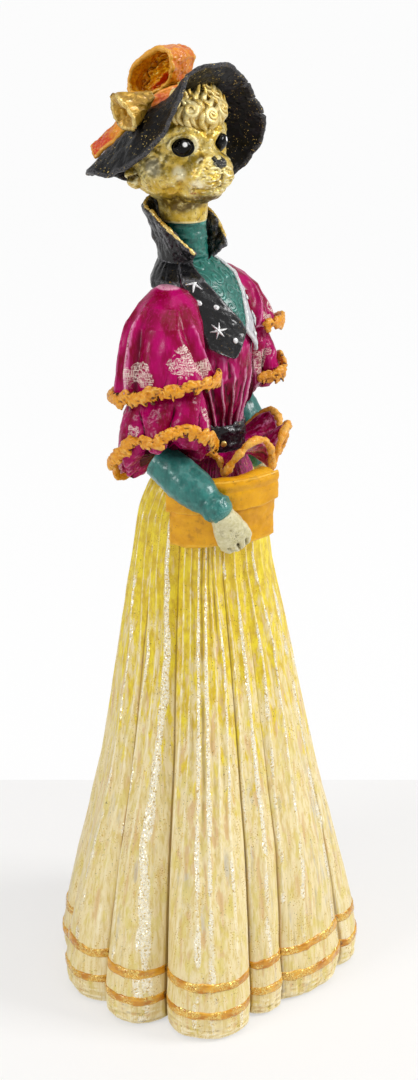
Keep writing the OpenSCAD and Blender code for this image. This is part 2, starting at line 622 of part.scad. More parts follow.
module sleeve_right() { sleeve(right_arm); }
module sleeve_left() { mirror([1, 0, 0]) sleeve(left_arm); }
module sleeve_braid_right() { sleeve_braid(right_arm); }
module sleeve_braid_left() { mirror([1, 0, 0]) sleeve_braid(left_arm); }
module flounce_right() { flounce(right_arm); }
module flounce_left() { mirror([1, 0, 0]) flounce(left_arm); }
module flounce_braid_right() { flounce_braid(right_arm); }
module flounce_braid_left() { mirror([1, 0, 0]) flounce_braid(left_arm); }

// Arms: points of the right arm, and of the left arm seen in a mirror
paw_t = wrist_r*1.5;
bag_mid = [0, -paw_t/7, 0];
hold_r = bag_r + flap_t + 2*seat_gap;
wrist_turn = -51;
tip_turn = -39;
bag_mid_z = bag_z + bag_h/2;
right_wrist = bag_mid + plan_dir(wrist_turn)*(hold_r + wrist_r) + [0, 0, bag_z + bag_h*0.68];
right_tip = bag_mid + plan_dir(tip_turn)*(bag_r + seat_gap + paw_t/2) + [0, 0, bag_z + bag_h*0.05];
left_wrist = [-(hem_r*0.46 + wrist_r), left_set_back - wrist_r*1.8, bag_z + bag_h*0.6];
left_tip = left_wrist + [wrist_r*0.2, -wrist_r*0.5, -paw_len*0.95];
hand_flat = plan_dir((wrist_turn + tip_turn)/2);

// Forearm that starts flush on the floor of its frill
function arm_root(arm) = lerp(puff_end(arm), mouth_mid(arm), floor_place) - [frill_t, 0, 0];
root_share = 0.86;
function arm_dir(arm, wrist) = unit(wrist - arm_root(arm));
// Place along the arm and radius between wrist and elbow, as shares
forearm_share = [[0.15, 1], [0.35, 0.9], [0.6, 0.55], [0.85, 0.12], [1, 0]];
module forearm(arm, wrist, grow = 0) {
  root = arm_root(arm);
  dir = arm_dir(arm, wrist);
  slope = flounce_slope(floor_place);
  normal = [slope[0], slope[1], -1];
  side = abs(dir[2]) > 0.8 ? [0, 1, 0] : [0, 0, 1];
  foot = root + unit(normal)*(seat_gap + flounce_half_w*0.05);
  root_r = forearm_r*root_share + grow;
  first = [for (p = tube_ring(root, dir, side, root_r, root_r, TUBE_N))
    p + dir*((foot - p)*normal)/(dir*normal)];
  loft(concat([first], [for (q = forearm_share) tube_ring(lerp(root, wrist, lerp(0.3, 1, q[0])), dir, side,
    lerp(wrist_r, forearm_r, q[1]) + grow, lerp(wrist_r, forearm_r, q[1]) + grow, TUBE_N)]));
}

// Paw with four short fingers; flat is the direction through its thickness
module paw(from_dir, wrist, tip, flat, grow = 0) {
  dir = unit(tip - wrist);
  across = unit(cross(flat, dir));
  steps = [[0.3, 0.88, 1.05], [0.5, 1, 1], [0.75, 1, 0.85], [0.9, 0.9, 0.6]];
  heel = tube_ring(wrist + from_dir*seat_gap, from_dir, across, paw_half_w*0.68 + grow,
    paw_t*0.55 + grow, TUBE_N);
  loft(concat([heel], [for (q = steps)
    tube_ring(lerp(wrist, tip, q[0]), dir, across, paw_half_w*q[1] + grow, paw_t/2*q[2] + grow, TUBE_N)]));
  finger_r = paw_half_w*0.26;
  for (k = [-1.5:1:1.5]) {
    root = lerp(wrist, tip, 0.8) + across*k*paw_half_w*0.46;
    end = lerp(wrist, tip, 1.0 - abs(k)*0.05) + across*k*paw_half_w*0.5;
    hull() {
      translate(root) sphere(r = finger_r + grow, $fn = 8);
      translate(end) sphere(r = finger_r*0.85 + grow, $fn = 8);
    }
  }
}
right_dir = arm_dir(right_arm, right_wrist);
left_dir = arm_dir(left_arm, left_wrist);

module forearm_right() { color([0.24, 0.5, 0.48]) forearm(right_arm, right_wrist); }
module forearm_left() { color([0.24, 0.5, 0.48]) mirror([1, 0, 0]) forearm(left_arm, left_wrist); }
module paw_right() { color([0.8, 0.75, 0.5]) paw(right_dir, right_wrist, right_tip, hand_flat); }
module paw_left() {
  color([0.8, 0.75, 0.5]) mirror([1, 0, 0]) paw(left_dir, left_wrist, left_tip, [-1, 0, 0]);
}

// Bag, bent round the hip
bag_back_turn = -88;
bag_front_turn = -9;
bag_turns = [for (k = [0:12]) lerp(bag_back_turn, bag_front_turn, k/12)];
bag_rise = bag_h*0.12;
function bag_point(turn, s, r) = let(k = (turn - bag_back_turn)/(bag_front_turn - bag_back_turn))
  bag_mid + plan_dir(turn)*(r + bag_t*0.1*sin(180*s)*sin(180*k)) + [0, 0, bag_z + bag_h*s + bag_rise*k];
module bag_sheet(s0, s1, r1, r0) {
  sheet([for (i = [0:4]) [for (t = bag_turns) bag_point(t, lerp(s0, s1, i/4), r1)]],
    [for (i = [0:4]) [for (t = bag_turns) bag_point(t, lerp(s0, s1, i/4), r0)]]);
}
module bag_body() {
  color([0.9, 0.62, 0.08]) difference() {
    bag_sheet(0, 1, bag_r, bag_r - bag_t);
    forearm(right_arm, right_wrist, seat_gap);
  }
}
module bag_flap() {
  color([0.93, 0.66, 0.1]) difference() {
    bag_sheet(0.57, 1, bag_r + pin_gap + flap_t, bag_r + pin_gap);
    forearm(right_arm, right_wrist, seat_gap);
    paw(right_dir, right_wrist, right_tip, hand_flat, seat_gap);
  }
}

// Head: seen from its own middle, each direction meets the skull, the cheeks, the muzzle or the neck
head_mid = [-skull_half_w*0.19, neck_set_back, head_z];
muzzle_r = muzzle_reach*0.36;
// Middle and half sizes of each mass of the head
head_masses = [
  [[0, skull_half_w*0.06, skull_half_w*0.28], [skull_half_w, skull_half_w*1.03, skull_half_w*1.22]],
  [[0, skull_half_w*0.04, -chin_drop*0.42], [skull_half_w, skull_half_w*0.9, chin_drop*0.62]],
  [[0, muzzle_r - muzzle_reach, -chin_drop*0.33], [muzzle_r, muzzle_r, muzzle_r*0.85]],
  [[0, -muzzle_reach*0.46, -chin_drop*0.7], [muzzle_r*0.8, muzzle_r*0.75, chin_drop*0.3]],
  [[skull_half_w*0.12, skull_half_w*0.05, -chin_drop*1.3], [neck_r*1.08, neck_r*1.08, chin_drop*1.6]]
];
neck_cut = head_z - (neck_z + neck_band_h + seat_gap);
hat_turns = [-hat_lean, -hat_dip, 0];
hat_seat = [0, skull_half_w*0.5, skull_half_w*0.56];
// Direction of the hat's axis as the head sees it
hat_axis = [-cos(hat_lean)*sin(hat_dip), sin(hat_lean), cos(hat_lean)*cos(hat_dip)];

// Far meeting of a ray from the middle with an ellipsoid, or zero
function mass_r(d, m) = let(q = [for (k = [0:2]) d[k]/m[1][k]], c = [for (k = [0:2]) m[0][k]/m[1][k]],
    a = q*q, b = q*c, e = b*b - a*(c*c - 1)) e > 0 ? max(0, (b + sqrt(e))/a) : 0;
BLEND = 10;
function below_hat(d, gap) = let(k = d*hat_axis) k > 0.02 ? (hat_seat*hat_axis - brim_t/2 - gap)/k : head_z;
function skull_r(d) = skull_half_w
  * pow([for (m = head_masses) pow(mass_r(d, m)/skull_half_w, BLEND)] * [1, 1, 1, 1, 1], 1/BLEND);
function head_r(d) = min(skull_r(d), below_hat(d, seat_gap), d[2] < -0.05 ? -neck_cut/d[2] : head_z);
HEAD_N = 40;
HEAD_M = 22;
module as_head() { translate(head_mid) rotate([0, 0, -head_turn]) children(); }
module head() {
  color([0.83, 0.72, 0.36]) difference() {
    as_head() loft([for (i = [0:HEAD_M]) let(el = -87 + 174*i/HEAD_M)
      [for (k = [0:HEAD_N-1]) let(d = plan_dir(360*k/HEAD_N)*cos(el) + [0, 0, sin(el)]) d*head_r(d)]]);
    translate([0, neck_pin_y, neck_pin_z])
      cylinder(h = neck_pin_len + pin_gap, d = neck_pin_d + 2*pin_gap, $fn = 32);
  }
}

// Small dome set on the head round a direction
module head_dome(dir, rw, rh, bulge, lift = seat_gap, n = 16) {
  d0 = unit(dir);
  side = unit(cross([0, 0, 1], d0));
  up = cross(d0, side);
  reach = skull_r(d0);
  function dome_dir(q, t) = unit(d0*reach + side*rw*q*cos(t) + up*rh*q*sin(t));
  function dome_ring(q, off) = [for (k = [0:n-1]) let(d = dome_dir(q, 360*k/n)) d*(skull_r(d) + off)];
  dome_share = [[1, 0.25], [0.88, 0.55], [0.62, 0.87], [0.25, 1]];
  as_head() loft(concat([dome_ring(0.3, lift), dome_ring(0.98, lift)],
    [for (q = dome_share) dome_ring(q[0], seat_gap + bulge*q[1])]));
}
eye_out = skull_half_w*0.49;
eye_front = -skull_half_w*0.8;
eye_up = skull_half_w*0.25;
module eye_right() {
  color("black") head_dome([-eye_out, eye_front, eye_up], eye_d/2, eye_d*0.42, eye_bulge);
}
module eye_left() {
  color("black") head_dome([eye_out, eye_front, eye_up], eye_d/2, eye_d*0.42, eye_bulge, 2.2*seat_gap);
}
module nose() {
  color([0.2, 0.2, 0.2])
    head_dome([0, -muzzle_reach, 0], nose_w/2, nose_w*0.42, nose_w*0.3, seat_gap, 12);
}
module ear(side) {
  head_dome([side*skull_half_w, skull_half_w*0.4, -chin_drop*0.55], ear_r, ear_r*0.9, ear_r*0.7);
}
module ear_right() { color([0.78, 0.66, 0.3]) ear(-1); }
module ear_left() { color([0.78, 0.66, 0.3]) ear(1); }

// The curls reach this turn to either side, between these heights as seen from the middle of the head
curl_end_turn = 58;
curl_low_el = 32;
curl_side_rise = 10;
curl_high_el = 59;
CURL_N = 20;
CURL_M = 6;
function curl_dir(i, j) = let(turn = lerp(-curl_end_turn, curl_end_turn, j/CURL_N),
    low = curl_low_el + curl_side_rise*abs(turn)/curl_end_turn, el = lerp(low, curl_high_el, i/CURL_M))
  plan_dir(turn)*cos(el) + [0, 0, sin(el)];
function curl_top(i, j) = let(d = curl_dir(i, j), foot = skull_r(d) + seat_gap,
    edge = min(1, i*0.5)*min(1, j*0.5)*min(1, (CURL_N - j)*0.5),
    lump = curl_t*(0.25 + 0.75*edge)*(0.75 + 0.25*cos(45*j)*cos(90*i)))
  max(foot + pin_gap, min(foot + lump, below_hat(d, curl_t*1.45)));
module brow_curls() {
  color([0.85, 0.7, 0.25]) as_head()
    sheet([for (i = [0:CURL_M]) [for (j = [0:CURL_N]) curl_dir(i, j)*curl_top(i, j)]],
      [for (i = [0:CURL_M]) [for (j = [0:CURL_N]) curl_dir(i, j)*(skull_r(curl_dir(i, j)) + seat_gap)]]);
}

// Hat
module as_hat() { as_head() translate(hat_seat) rotate(hat_turns) children(); }
// Turn round the hat, reach and droop of the brim's rim, as shares of the mean radius of the brim
rim_share = [[-180, 0.9, -0.2], [-155, 0.88, -0.05], [-130, 0.92, 0], [-112, 1.0, -0.06],
  [-100, 1.06, -0.12], [-85, 1.03, -0.36], [-70, 1.03, -0.45], [-55, 1.03, -0.48], [-40, 1.0, -0.41],
  [-25, 0.97, -0.25], [-10, 1.0, 0], [5, 1.06, -0.03], [20, 1.03, -0.04], [36, 0.97, -0.11],
  [52, 0.94, -0.22], [68, 0.95, -0.375], [84, 0.99, -0.49], [98, 1.02, -0.56], [112, 1.0, -0.6],
  [126, 0.96, -0.62], [150, 0.92, -0.55], [180, 0.9, -0.2]];
rim_reach = [for (q = rim_share) [q[0], q[1]]];
rim_droop = [for (q = rim_share) [q[0], q[2]]];
BRIM_N = 45;
brim_flat_r = crown_r*1.42;
function brim_point(turn, s, off) = let(r1 = brim_r*from_table(turn, rim_reach),
    r = lerp(brim_flat_r*0.45, r1, s), f = max(0, (r - brim_flat_r)/(r1 - brim_flat_r)))
  plan_dir(turn)*r + [0, 0, brim_r*from_table(turn, rim_droop)*pow(f, 1.5) + off];
function brim_ring(s, off) = [for (k = [0:BRIM_N-1]) brim_point(-180 + 360*k/BRIM_N, s, off)];
brim_steps = [0, 0.4, 0.6, 0.78, 0.92, 1];
module hat_brim() {
  last = len(brim_steps) - 1;
  color([0.15, 0.15, 0.16]) as_hat() loft(concat([for (s = brim_steps) brim_ring(s, -brim_t/2)],
    [for (k = [last:-1:0]) brim_ring(brim_steps[k], brim_t/2)]));
}
crown_edge_r = crown_h*0.22;
module hat_crown() {
  color([0.15, 0.15, 0.16]) as_hat() translate([0, 0, brim_t/2 + pin_gap]) rotate_extrude($fn = 48)
    polygon(concat([[0, 0], [crown_r, 0]], [for (a = [0:22.5:90])
      [crown_r - crown_edge_r*(1 - cos(a)), crown_h - crown_edge_r*(1 - sin(a))]], [[0, crown_h]]));
}
module hat_band() {
  color([0.85, 0.32, 0.1]) as_hat() translate([0, 0, brim_t/2 + pin_gap]) difference() {
    cylinder(h = hat_band_h, r = crown_r + pin_gap + hat_band_t, $fn = 48);
    translate([0, 0, -overrun]) cylinder(h = hat_band_h + 2*overrun, r = crown_r + pin_gap, $fn = 48);
  }
}

// Bow on the hat
bow_seat_z = brim_t/2 + crown_h + 2*pin_gap;
// Loop of ribbon that stands on the crown, drawn in the plane across the ribbon
LOOP_N = 28;
function loop_rim(half_w, half_h, f) = [for (k = [0:LOOP_N-1]) let(t = 360*k/LOOP_N)
  [(half_w - f)*sin(t)*(1 - 0.15*cos(t)), half_h - (half_h - f)*cos(t)]];
module bow_big_loop() {
  color([0.88, 0.54, 0.08]) as_hat() translate([crown_r*0.39, -crown_r*0.47, bow_seat_z]) rotate([0, 0, -63])
    translate([0, bow_w/2, 0]) rotate([90, 0, 0]) linear_extrude(bow_w) difference() {
      polygon(loop_rim(bow_w*0.88, bow_w*0.6, 0));
      polygon(loop_rim(bow_w*0.88, bow_w*0.6, bow_t));
    }
}

// Knot on the brim beside the band, and the flared loop that rises from it
knot_turn = -38;
knot_r = crown_r + hat_band_t + 3*pin_gap;
knot = plan_dir(knot_turn)*knot_r + [0, 0, brim_t/2 + pin_gap];
flare_dir = unit([-0.83, 0.023, -0.153]);
flare_up = unit([0.4, -0.337, 0.852]);
flare_start = [-0.096, -0.396, 0.242];
// Place along the loop, half width across the picture and half height, as shares of the ribbon's width
flare_share = [[0.1, 0.14, 0.14], [0.45, 0.24, 0.275], [0.81, 0.34, 0.43], [1.11, 0.4, 0.53]];
function flare_ring(q, f) =
  tube_ring(knot + flare_start*bow_w + flare_dir*bow_w*q[0], flare_dir, flare_up,
    bow_w*q[2] - f, bow_w*q[1] - f, 18);
module bow_gold_loop() {
  inner = [for (q = flare_share) flare_ring(q, min(bow_t*0.6, bow_w*0.08 + bow_t*0.3*q[0]))];
  color([0.6, 0.47, 0.12]) as_hat()
    loft(concat([for (q = flare_share) flare_ring(q, 0)], [inner[3], inner[2], inner[1]]));
}

// Free end of ribbon that rises off the brim towards the hat's right
tail_across = unit([0.458, 0.38, 0.8]);
tail_place = [[0, 0, 0.21], [-0.27, 0.3, 0.21], [-0.52, 0.86, 0.21], [-0.75, 1.42, 0.21], [-1, 1.8, 0.21]];
module bow_tail() {
  lift = unit(cross(tail_across, [-0.42, 0.9, 0.1]));
  mids = [for (q = tail_place) knot + [q[0] - 0.13, q[1] - 0.1, q[2]]*bow_w];
  function tail_row(off) = [for (p = mids) [for (k = [-1:0.5:1]) p + tail_across*bow_w*0.24*k + lift*off]];
  color([0.84, 0.3, 0.1]) as_hat() sheet(tail_row(bow_t*0.3), tail_row(-bow_t*0.3));
}

felt_pad();
base_plate();
skirt();
hem_band_lower();
hem_band_upper();
waist_dowel();
neck_pin();
bodice();
belt();
belt_stud();
blouse_neck();
blouse_panel();
collar();
collar_piping();
lapel_right();
lapel_left();
silver_ornaments();
peplum();
peplum_braid();
sleeve_right();
sleeve_left();
sleeve_braid_right();
sleeve_braid_left();
flounce_right();
flounce_left();
flounce_braid_right();
flounce_braid_left();
forearm_right();
forearm_left();
paw_right();
paw_left();
bag_body();
bag_flap();
head();
eye_right();
eye_left();
nose();
ear_right();
ear_left();
brow_curls();
hat_brim();
hat_crown();
hat_band();
bow_big_loop();
bow_gold_loop();
bow_tail();
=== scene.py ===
"""Cat figurine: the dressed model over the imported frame. Lengths are in millimetres until a mesh is made."""
import math
import bpy
import numpy as np
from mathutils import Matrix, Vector


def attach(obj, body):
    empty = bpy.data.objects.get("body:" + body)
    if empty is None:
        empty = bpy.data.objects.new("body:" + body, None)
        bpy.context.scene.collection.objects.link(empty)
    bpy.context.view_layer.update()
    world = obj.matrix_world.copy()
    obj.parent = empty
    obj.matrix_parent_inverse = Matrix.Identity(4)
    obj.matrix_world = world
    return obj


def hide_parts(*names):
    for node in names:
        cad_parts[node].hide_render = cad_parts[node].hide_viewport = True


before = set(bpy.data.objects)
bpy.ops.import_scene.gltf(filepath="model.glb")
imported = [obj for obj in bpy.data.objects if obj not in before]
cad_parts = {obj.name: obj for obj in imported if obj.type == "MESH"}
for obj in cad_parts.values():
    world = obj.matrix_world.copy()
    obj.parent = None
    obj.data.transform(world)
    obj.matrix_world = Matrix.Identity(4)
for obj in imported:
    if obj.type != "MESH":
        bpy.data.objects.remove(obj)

MM = .001
UP = np.array([0.0, 0.0, 1.0])
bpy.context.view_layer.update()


# ---------------------------------------------------------------- noise
def _hash(ix, iy, iz, seed):
    """Number from -1 to 1 for a point of an integer grid, always the same for the same seed."""
    with np.errstate(over="ignore"):
        h = (ix.astype(np.uint32) * np.uint32(374761393) + iy.astype(np.uint32) * np.uint32(668265263)
             + iz.astype(np.uint32) * np.uint32(2246822519) + np.uint32(seed * 3266489917 & 0xFFFFFFFF))
        h = (h ^ (h >> np.uint32(13))) * np.uint32(1274126177)
        h = h ^ (h >> np.uint32(16))
    return (h & np.uint32(0xFFFFFF)).astype(np.float64) / float(0xFFFFFF) * 2 - 1


def noise(p, size, seed=0):
    """Smooth noise from -1 to 1 at points (..., 3). Its features are about size long, a length or three."""
    q = np.asarray(p, float) / np.asarray(size, float)
    i = np.floor(q).astype(np.int64)
    f = q - i
    f = f * f * f * (f * (f * 6 - 15) + 10)
    out = 0.0
    for dx in (0, 1):
        wx = f[..., 0] if dx else 1 - f[..., 0]
        for dy in (0, 1):
            wy = f[..., 1] if dy else 1 - f[..., 1]
            for dz in (0, 1):
                wz = f[..., 2] if dz else 1 - f[..., 2]
                out = out + wx * wy * wz * _hash(i[..., 0] + dx, i[..., 1] + dy, i[..., 2] + dz, seed)
    return out


def fbm(p, size, octaves=3, seed=0):
    """Noise with finer and fainter octaves on top."""
    size = np.asarray(size, float)
    return sum(noise(p, size / 2 ** k, seed + 17 * k) * .5 ** k for k in range(octaves))


def table(x, rows, column=1):
    """Value at x in a column of a table whose first column rises."""
    return np.interp(x, [r[0] for r in rows], [r[column] for r in rows])


def smooth(x, a, b):
    """0 at a and 1 at b, with a soft start and end. a may be the greater one."""
    t = np.clip((x - a) / (b - a), 0, 1)
    return t * t * (3 - 2 * t)


def lerp(a, b, t):
    return a + (b - a) * t


def unit(v):
    """Vectors of length one."""
    v = np.asarray(v, float)
    return v / np.maximum(np.linalg.norm(v, axis=-1, keepdims=True), 1e-12)


def turn_dir(turn):
    """Direction in the plan, turned in degrees from the front towards the figure's left."""
    a = np.radians(turn)
    return np.stack([np.sin(a), -np.cos(a), np.zeros_like(a)], -1)


def plan(turn):
    """The same direction for one plain number."""
    return turn_dir(np.array(float(turn)))


def around(n):
    """Turns of n columns round the figure."""
    return np.linspace(-180, 180, n, endpoint=False)


def xyz(x, y, z):
    """Points from their coordinates, which are arrays or plain numbers."""
    return np.stack(np.broadcast_arrays(x, y, z), -1)


def rot_z(p, degrees):
    """Points turned about the Z axis."""
    a = math.radians(degrees)
    return p @ np.array([[math.cos(a), -math.sin(a), 0], [math.sin(a), math.cos(a), 0], [0, 0, 1]]).T


# ---------------------------------------------------------------- meshes
def grid_faces(m, n, wrap, wrap_rows):
    """Quads of a grid with m rows of n points, whose columns run to the right seen from outside."""
    i, j = np.meshgrid(np.arange(m if wrap_rows else m - 1), np.arange(n if wrap else n - 1), indexing="ij")
    a = i * n + j
    b = i * n + (j + 1) % n
    c = ((i + 1) % m) * n + j
    d = ((i + 1) % m) * n + (j + 1) % n
    return np.stack([a, b, d, c], -1).reshape(-1, 4)


def grid_normals(g, wrap=True, wrap_rows=False):
    """Outward normals of a grid of points (m, n, 3) whose columns run to the right seen from outside."""
    du = (np.roll(g, -1, 1) - np.roll(g, 1, 1)) if wrap else np.gradient(g, axis=1)
    dv = (np.roll(g, -1, 0) - np.roll(g, 1, 0)) if wrap_rows else np.gradient(g, axis=0)
    return unit(np.cross(du, dv))


def facing_out(g, centre):
    """Grid with its columns put in the order that turns its normals away from the centre."""
    return g[:, ::-1] if ((g - centre) * grid_normals(g)).sum() < 0 else g


class Shape:
    """Vertices, quads and named numbers on the vertices, gathered before one mesh is made of them."""
    def __init__(self):
        self.v, self.f, self.t, self.a, self.n = [], [], [], {}, 0

    def add(self, verts, quads=None, tris=None, **attrs):
        """Vertices with their faces. An attribute is one number or one for each vertex."""
        verts = np.asarray(verts, float).reshape(-1, 3)
        if quads is not None and len(quads):
            self.f.append(np.asarray(quads) + self.n)
        if tris is not None and len(tris):
            self.t.append(np.asarray(tris) + self.n)
        for k, val in attrs.items():
            full = np.broadcast_to(np.asarray(val, float).reshape(-1), (len(verts),))
            self.a.setdefault(k, []).append((self.n, full))
        self.v.append(verts)
        self.n += len(verts)
        return self

    def grid(self, g, wrap=True, wrap_rows=False, cap0=False, cap1=False, **attrs):
        """Grid of points (m, n, 3), with a fan over its first or last row where cap0 or cap1 asks for it."""
        m, n = g.shape[:2]
        quads = grid_faces(m, n, wrap, wrap_rows)
        verts = g.reshape(-1, 3)
        attrs = {k: np.ravel(val) for k, val in attrs.items()}
        tris, extra = [], []
        for flag, row, flip in ((cap0, 0, True), (cap1, m - 1, False)):
            if flag:
                c = m * n + len(extra)
                extra.append(g[row].mean(0))
                j = np.arange(n)
                a, b = row * n + j, row * n + (j + 1) % n
                tris.append(np.stack([np.full(n, c), b, a] if flip else [np.full(n, c), a, b], -1))
        if extra:
            verts = np.concatenate([verts, np.array(extra)])
            for k, val in list(attrs.items()):
                if np.size(val) > 1:
                    attrs[k] = np.concatenate([val, np.full(len(extra), float(np.mean(val)))])
        return self.add(verts, quads, np.concatenate(tris) if tris else None, **attrs)

    def merged(self):
        v = np.concatenate(self.v)
        f = np.concatenate(self.f) if self.f else np.zeros((0, 4), int)
        t = np.concatenate(self.t) if self.t else np.zeros((0, 3), int)
        return v, f, t


def capped(g, **attrs):
    """Shape of one grid with both ends closed."""
    return Shape().grid(g, cap0=True, cap1=True, **attrs)


def convexity(v, f, t, rounds):
    """How far each vertex stands out of its surroundings, in millimetres, after rounds of averaging."""
    e = np.concatenate([f[:, [0, 1]], f[:, [1, 2]], f[:, [2, 3]], f[:, [3, 0]],
                        t[:, [0, 1]], t[:, [1, 2]], t[:, [2, 0]]])
    n = len(v)
    a, b = np.concatenate([e[:, 0], e[:, 1]]), np.concatenate([e[:, 1], e[:, 0]])
    count = np.maximum(np.bincount(a, minlength=n), 1)
    fn = np.cross(v[f[:, 2]] - v[f[:, 0]], v[f[:, 3]] - v[f[:, 1]])
    tn = np.cross(v[t[:, 1]] - v[t[:, 0]], v[t[:, 2]] - v[t[:, 0]])
    nrm = np.zeros((n, 3))
    for axis in range(3):
        for k in range(4):
            nrm[:, axis] += np.bincount(f[:, k], fn[:, axis], minlength=n)
        for k in range(3):
            nrm[:, axis] += np.bincount(t[:, k], tn[:, axis], minlength=n)
    nrm = unit(nrm)
    s = v.copy()
    for _ in range(rounds):
        s = np.stack([np.bincount(a, s[b, axis], minlength=n) for axis in range(3)], -1) / count[:, None]
    out = ((v - s) * nrm).sum(-1)
    for _ in range(2):
        out = (out + np.bincount(a, out[b], minlength=n) / count) / 2
    return out


def make(node, shape, key, edge_rounds=6, edge_size=.25, name=None):
    """One Blender object from a Shape, in the paint of its key, in place of the CAD node.

    Its attribute edge is 0 in hollows and 1 on ridges that are edge_size deep, found over edge_rounds."""
    v, f, t = shape.merged()
    me = bpy.data.meshes.new(name or node + "_dressed")
    me.vertices.add(len(v))
    me.vertices.foreach_set("co", (v * MM).astype(np.float32).ravel())
    me.loops.add(len(f) * 4 + len(t) * 3)
    me.loops.foreach_set("vertex_index", np.concatenate([f.ravel(), t.ravel()]).astype(np.int32))
    me.polygons.add(len(f) + len(t))
    starts = np.concatenate([np.arange(len(f)) * 4, len(f) * 4 + np.arange(len(t)) * 3])
    me.polygons.foreach_set("loop_start", starts.astype(np.int32))
    me.update(calc_edges=True)
    me.polygons.foreach_set("use_smooth", np.ones(len(f) + len(t), bool))
    values = {"edge": np.clip(convexity(v, f, t, edge_rounds) / edge_size * .5 + .5, 0, 1)}
    for k, parts in shape.a.items():
        values[k] = np.zeros(len(v))
        for at, val in parts:
            values[k][at:at + len(val)] = val
    for k, val in values.items():
        me.attributes.new(k, "FLOAT", "POINT").data.foreach_set("value", val.astype(np.float32))
    me.materials.append(PAINT[key])
    me.validate()
    o = bpy.data.objects.new(me.name, me)
    bpy.context.scene.collection.objects.link(o)
    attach(o, "root")
    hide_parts(node)


# Direction of a tube's flat side where none is given: askew, so that no path runs along it
NO_FLAT = (.13, .21, .97)


def tube(path, radius, n=10, flat=None, squash=1.0, closed=False):
    """Grid round a path of points. squash flattens the section across the direction flat."""
    path = np.asarray(path, float)
    m = len(path)
    tangent = unit(np.roll(path, -1, 0) - np.roll(path, 1, 0)) if closed else unit(np.gradient(path, axis=0))
    ref = np.broadcast_to(np.asarray(NO_FLAT if flat is None else flat, float), (m, 3))
    side = unit(np.cross(tangent, ref))
    up = np.cross(side, tangent)
    a = (np.arange(n) / n * 2 * np.pi)[None, :, None]
    r = np.broadcast_to(np.asarray(radius, float), (m,))[:, None, None]
    # Columns run to the right seen from outside while the rows follow the path
    return path[:, None] + r * (side[:, None] * np.cos(a) - up[:, None] * squash * np.sin(a))


# ---------------------------------------------------------------- materials
def linear(colour):
    """Linear colour of a hex code. Anything else passes through."""
    if not isinstance(colour, str):
        return colour
    c = [int(colour[k:k + 2], 16) / 255 for k in (0, 2, 4)]
    return (*(x / 12.92 if x <= .04045 else ((x + .055) / 1.055) ** 2.4 for x in c), 1.0)


class Nodes:
    """Short way to write a node tree. Sockets or plain numbers go into a node's inputs."""
    def __init__(self, owner):
        owner.use_nodes = True
        self.nt = owner.node_tree
        self.nt.nodes.clear()

    def put(self, socket, value):
        if hasattr(value, "is_output"):
            self.nt.links.new(value, socket)
        elif value is not None:
            socket.default_value = value

    def node(self, kind, inputs=(), **settings):
        """New shader node. inputs gives values by the input's name or place."""
        n = self.nt.nodes.new("ShaderNode" + kind)
        for k, value in settings.items():
            setattr(n, k, value)
        for k, value in dict(inputs).items():
            self.put(n.inputs[k], value)
        return n

    def math(self, op, a, b=0.0):
        return self.node("Math", {0: a, 1: b}, operation=op).outputs[0]

    def mix(self, fac, a, b):
        return self.node("Mix", {0: fac, 6: linear(a), 7: linear(b)}, data_type="RGBA").outputs[2]

    def seen(self):
        """1 where the camera looks, GLOSSY_SHARE where a glossy surface does, 0 for plain light."""
        ray = self.node("LightPath").outputs
        return self.math("MAXIMUM", ray["Is Camera Ray"],
                         self.math("MULTIPLY", ray["Is Glossy Ray"], GLOSSY_SHARE))


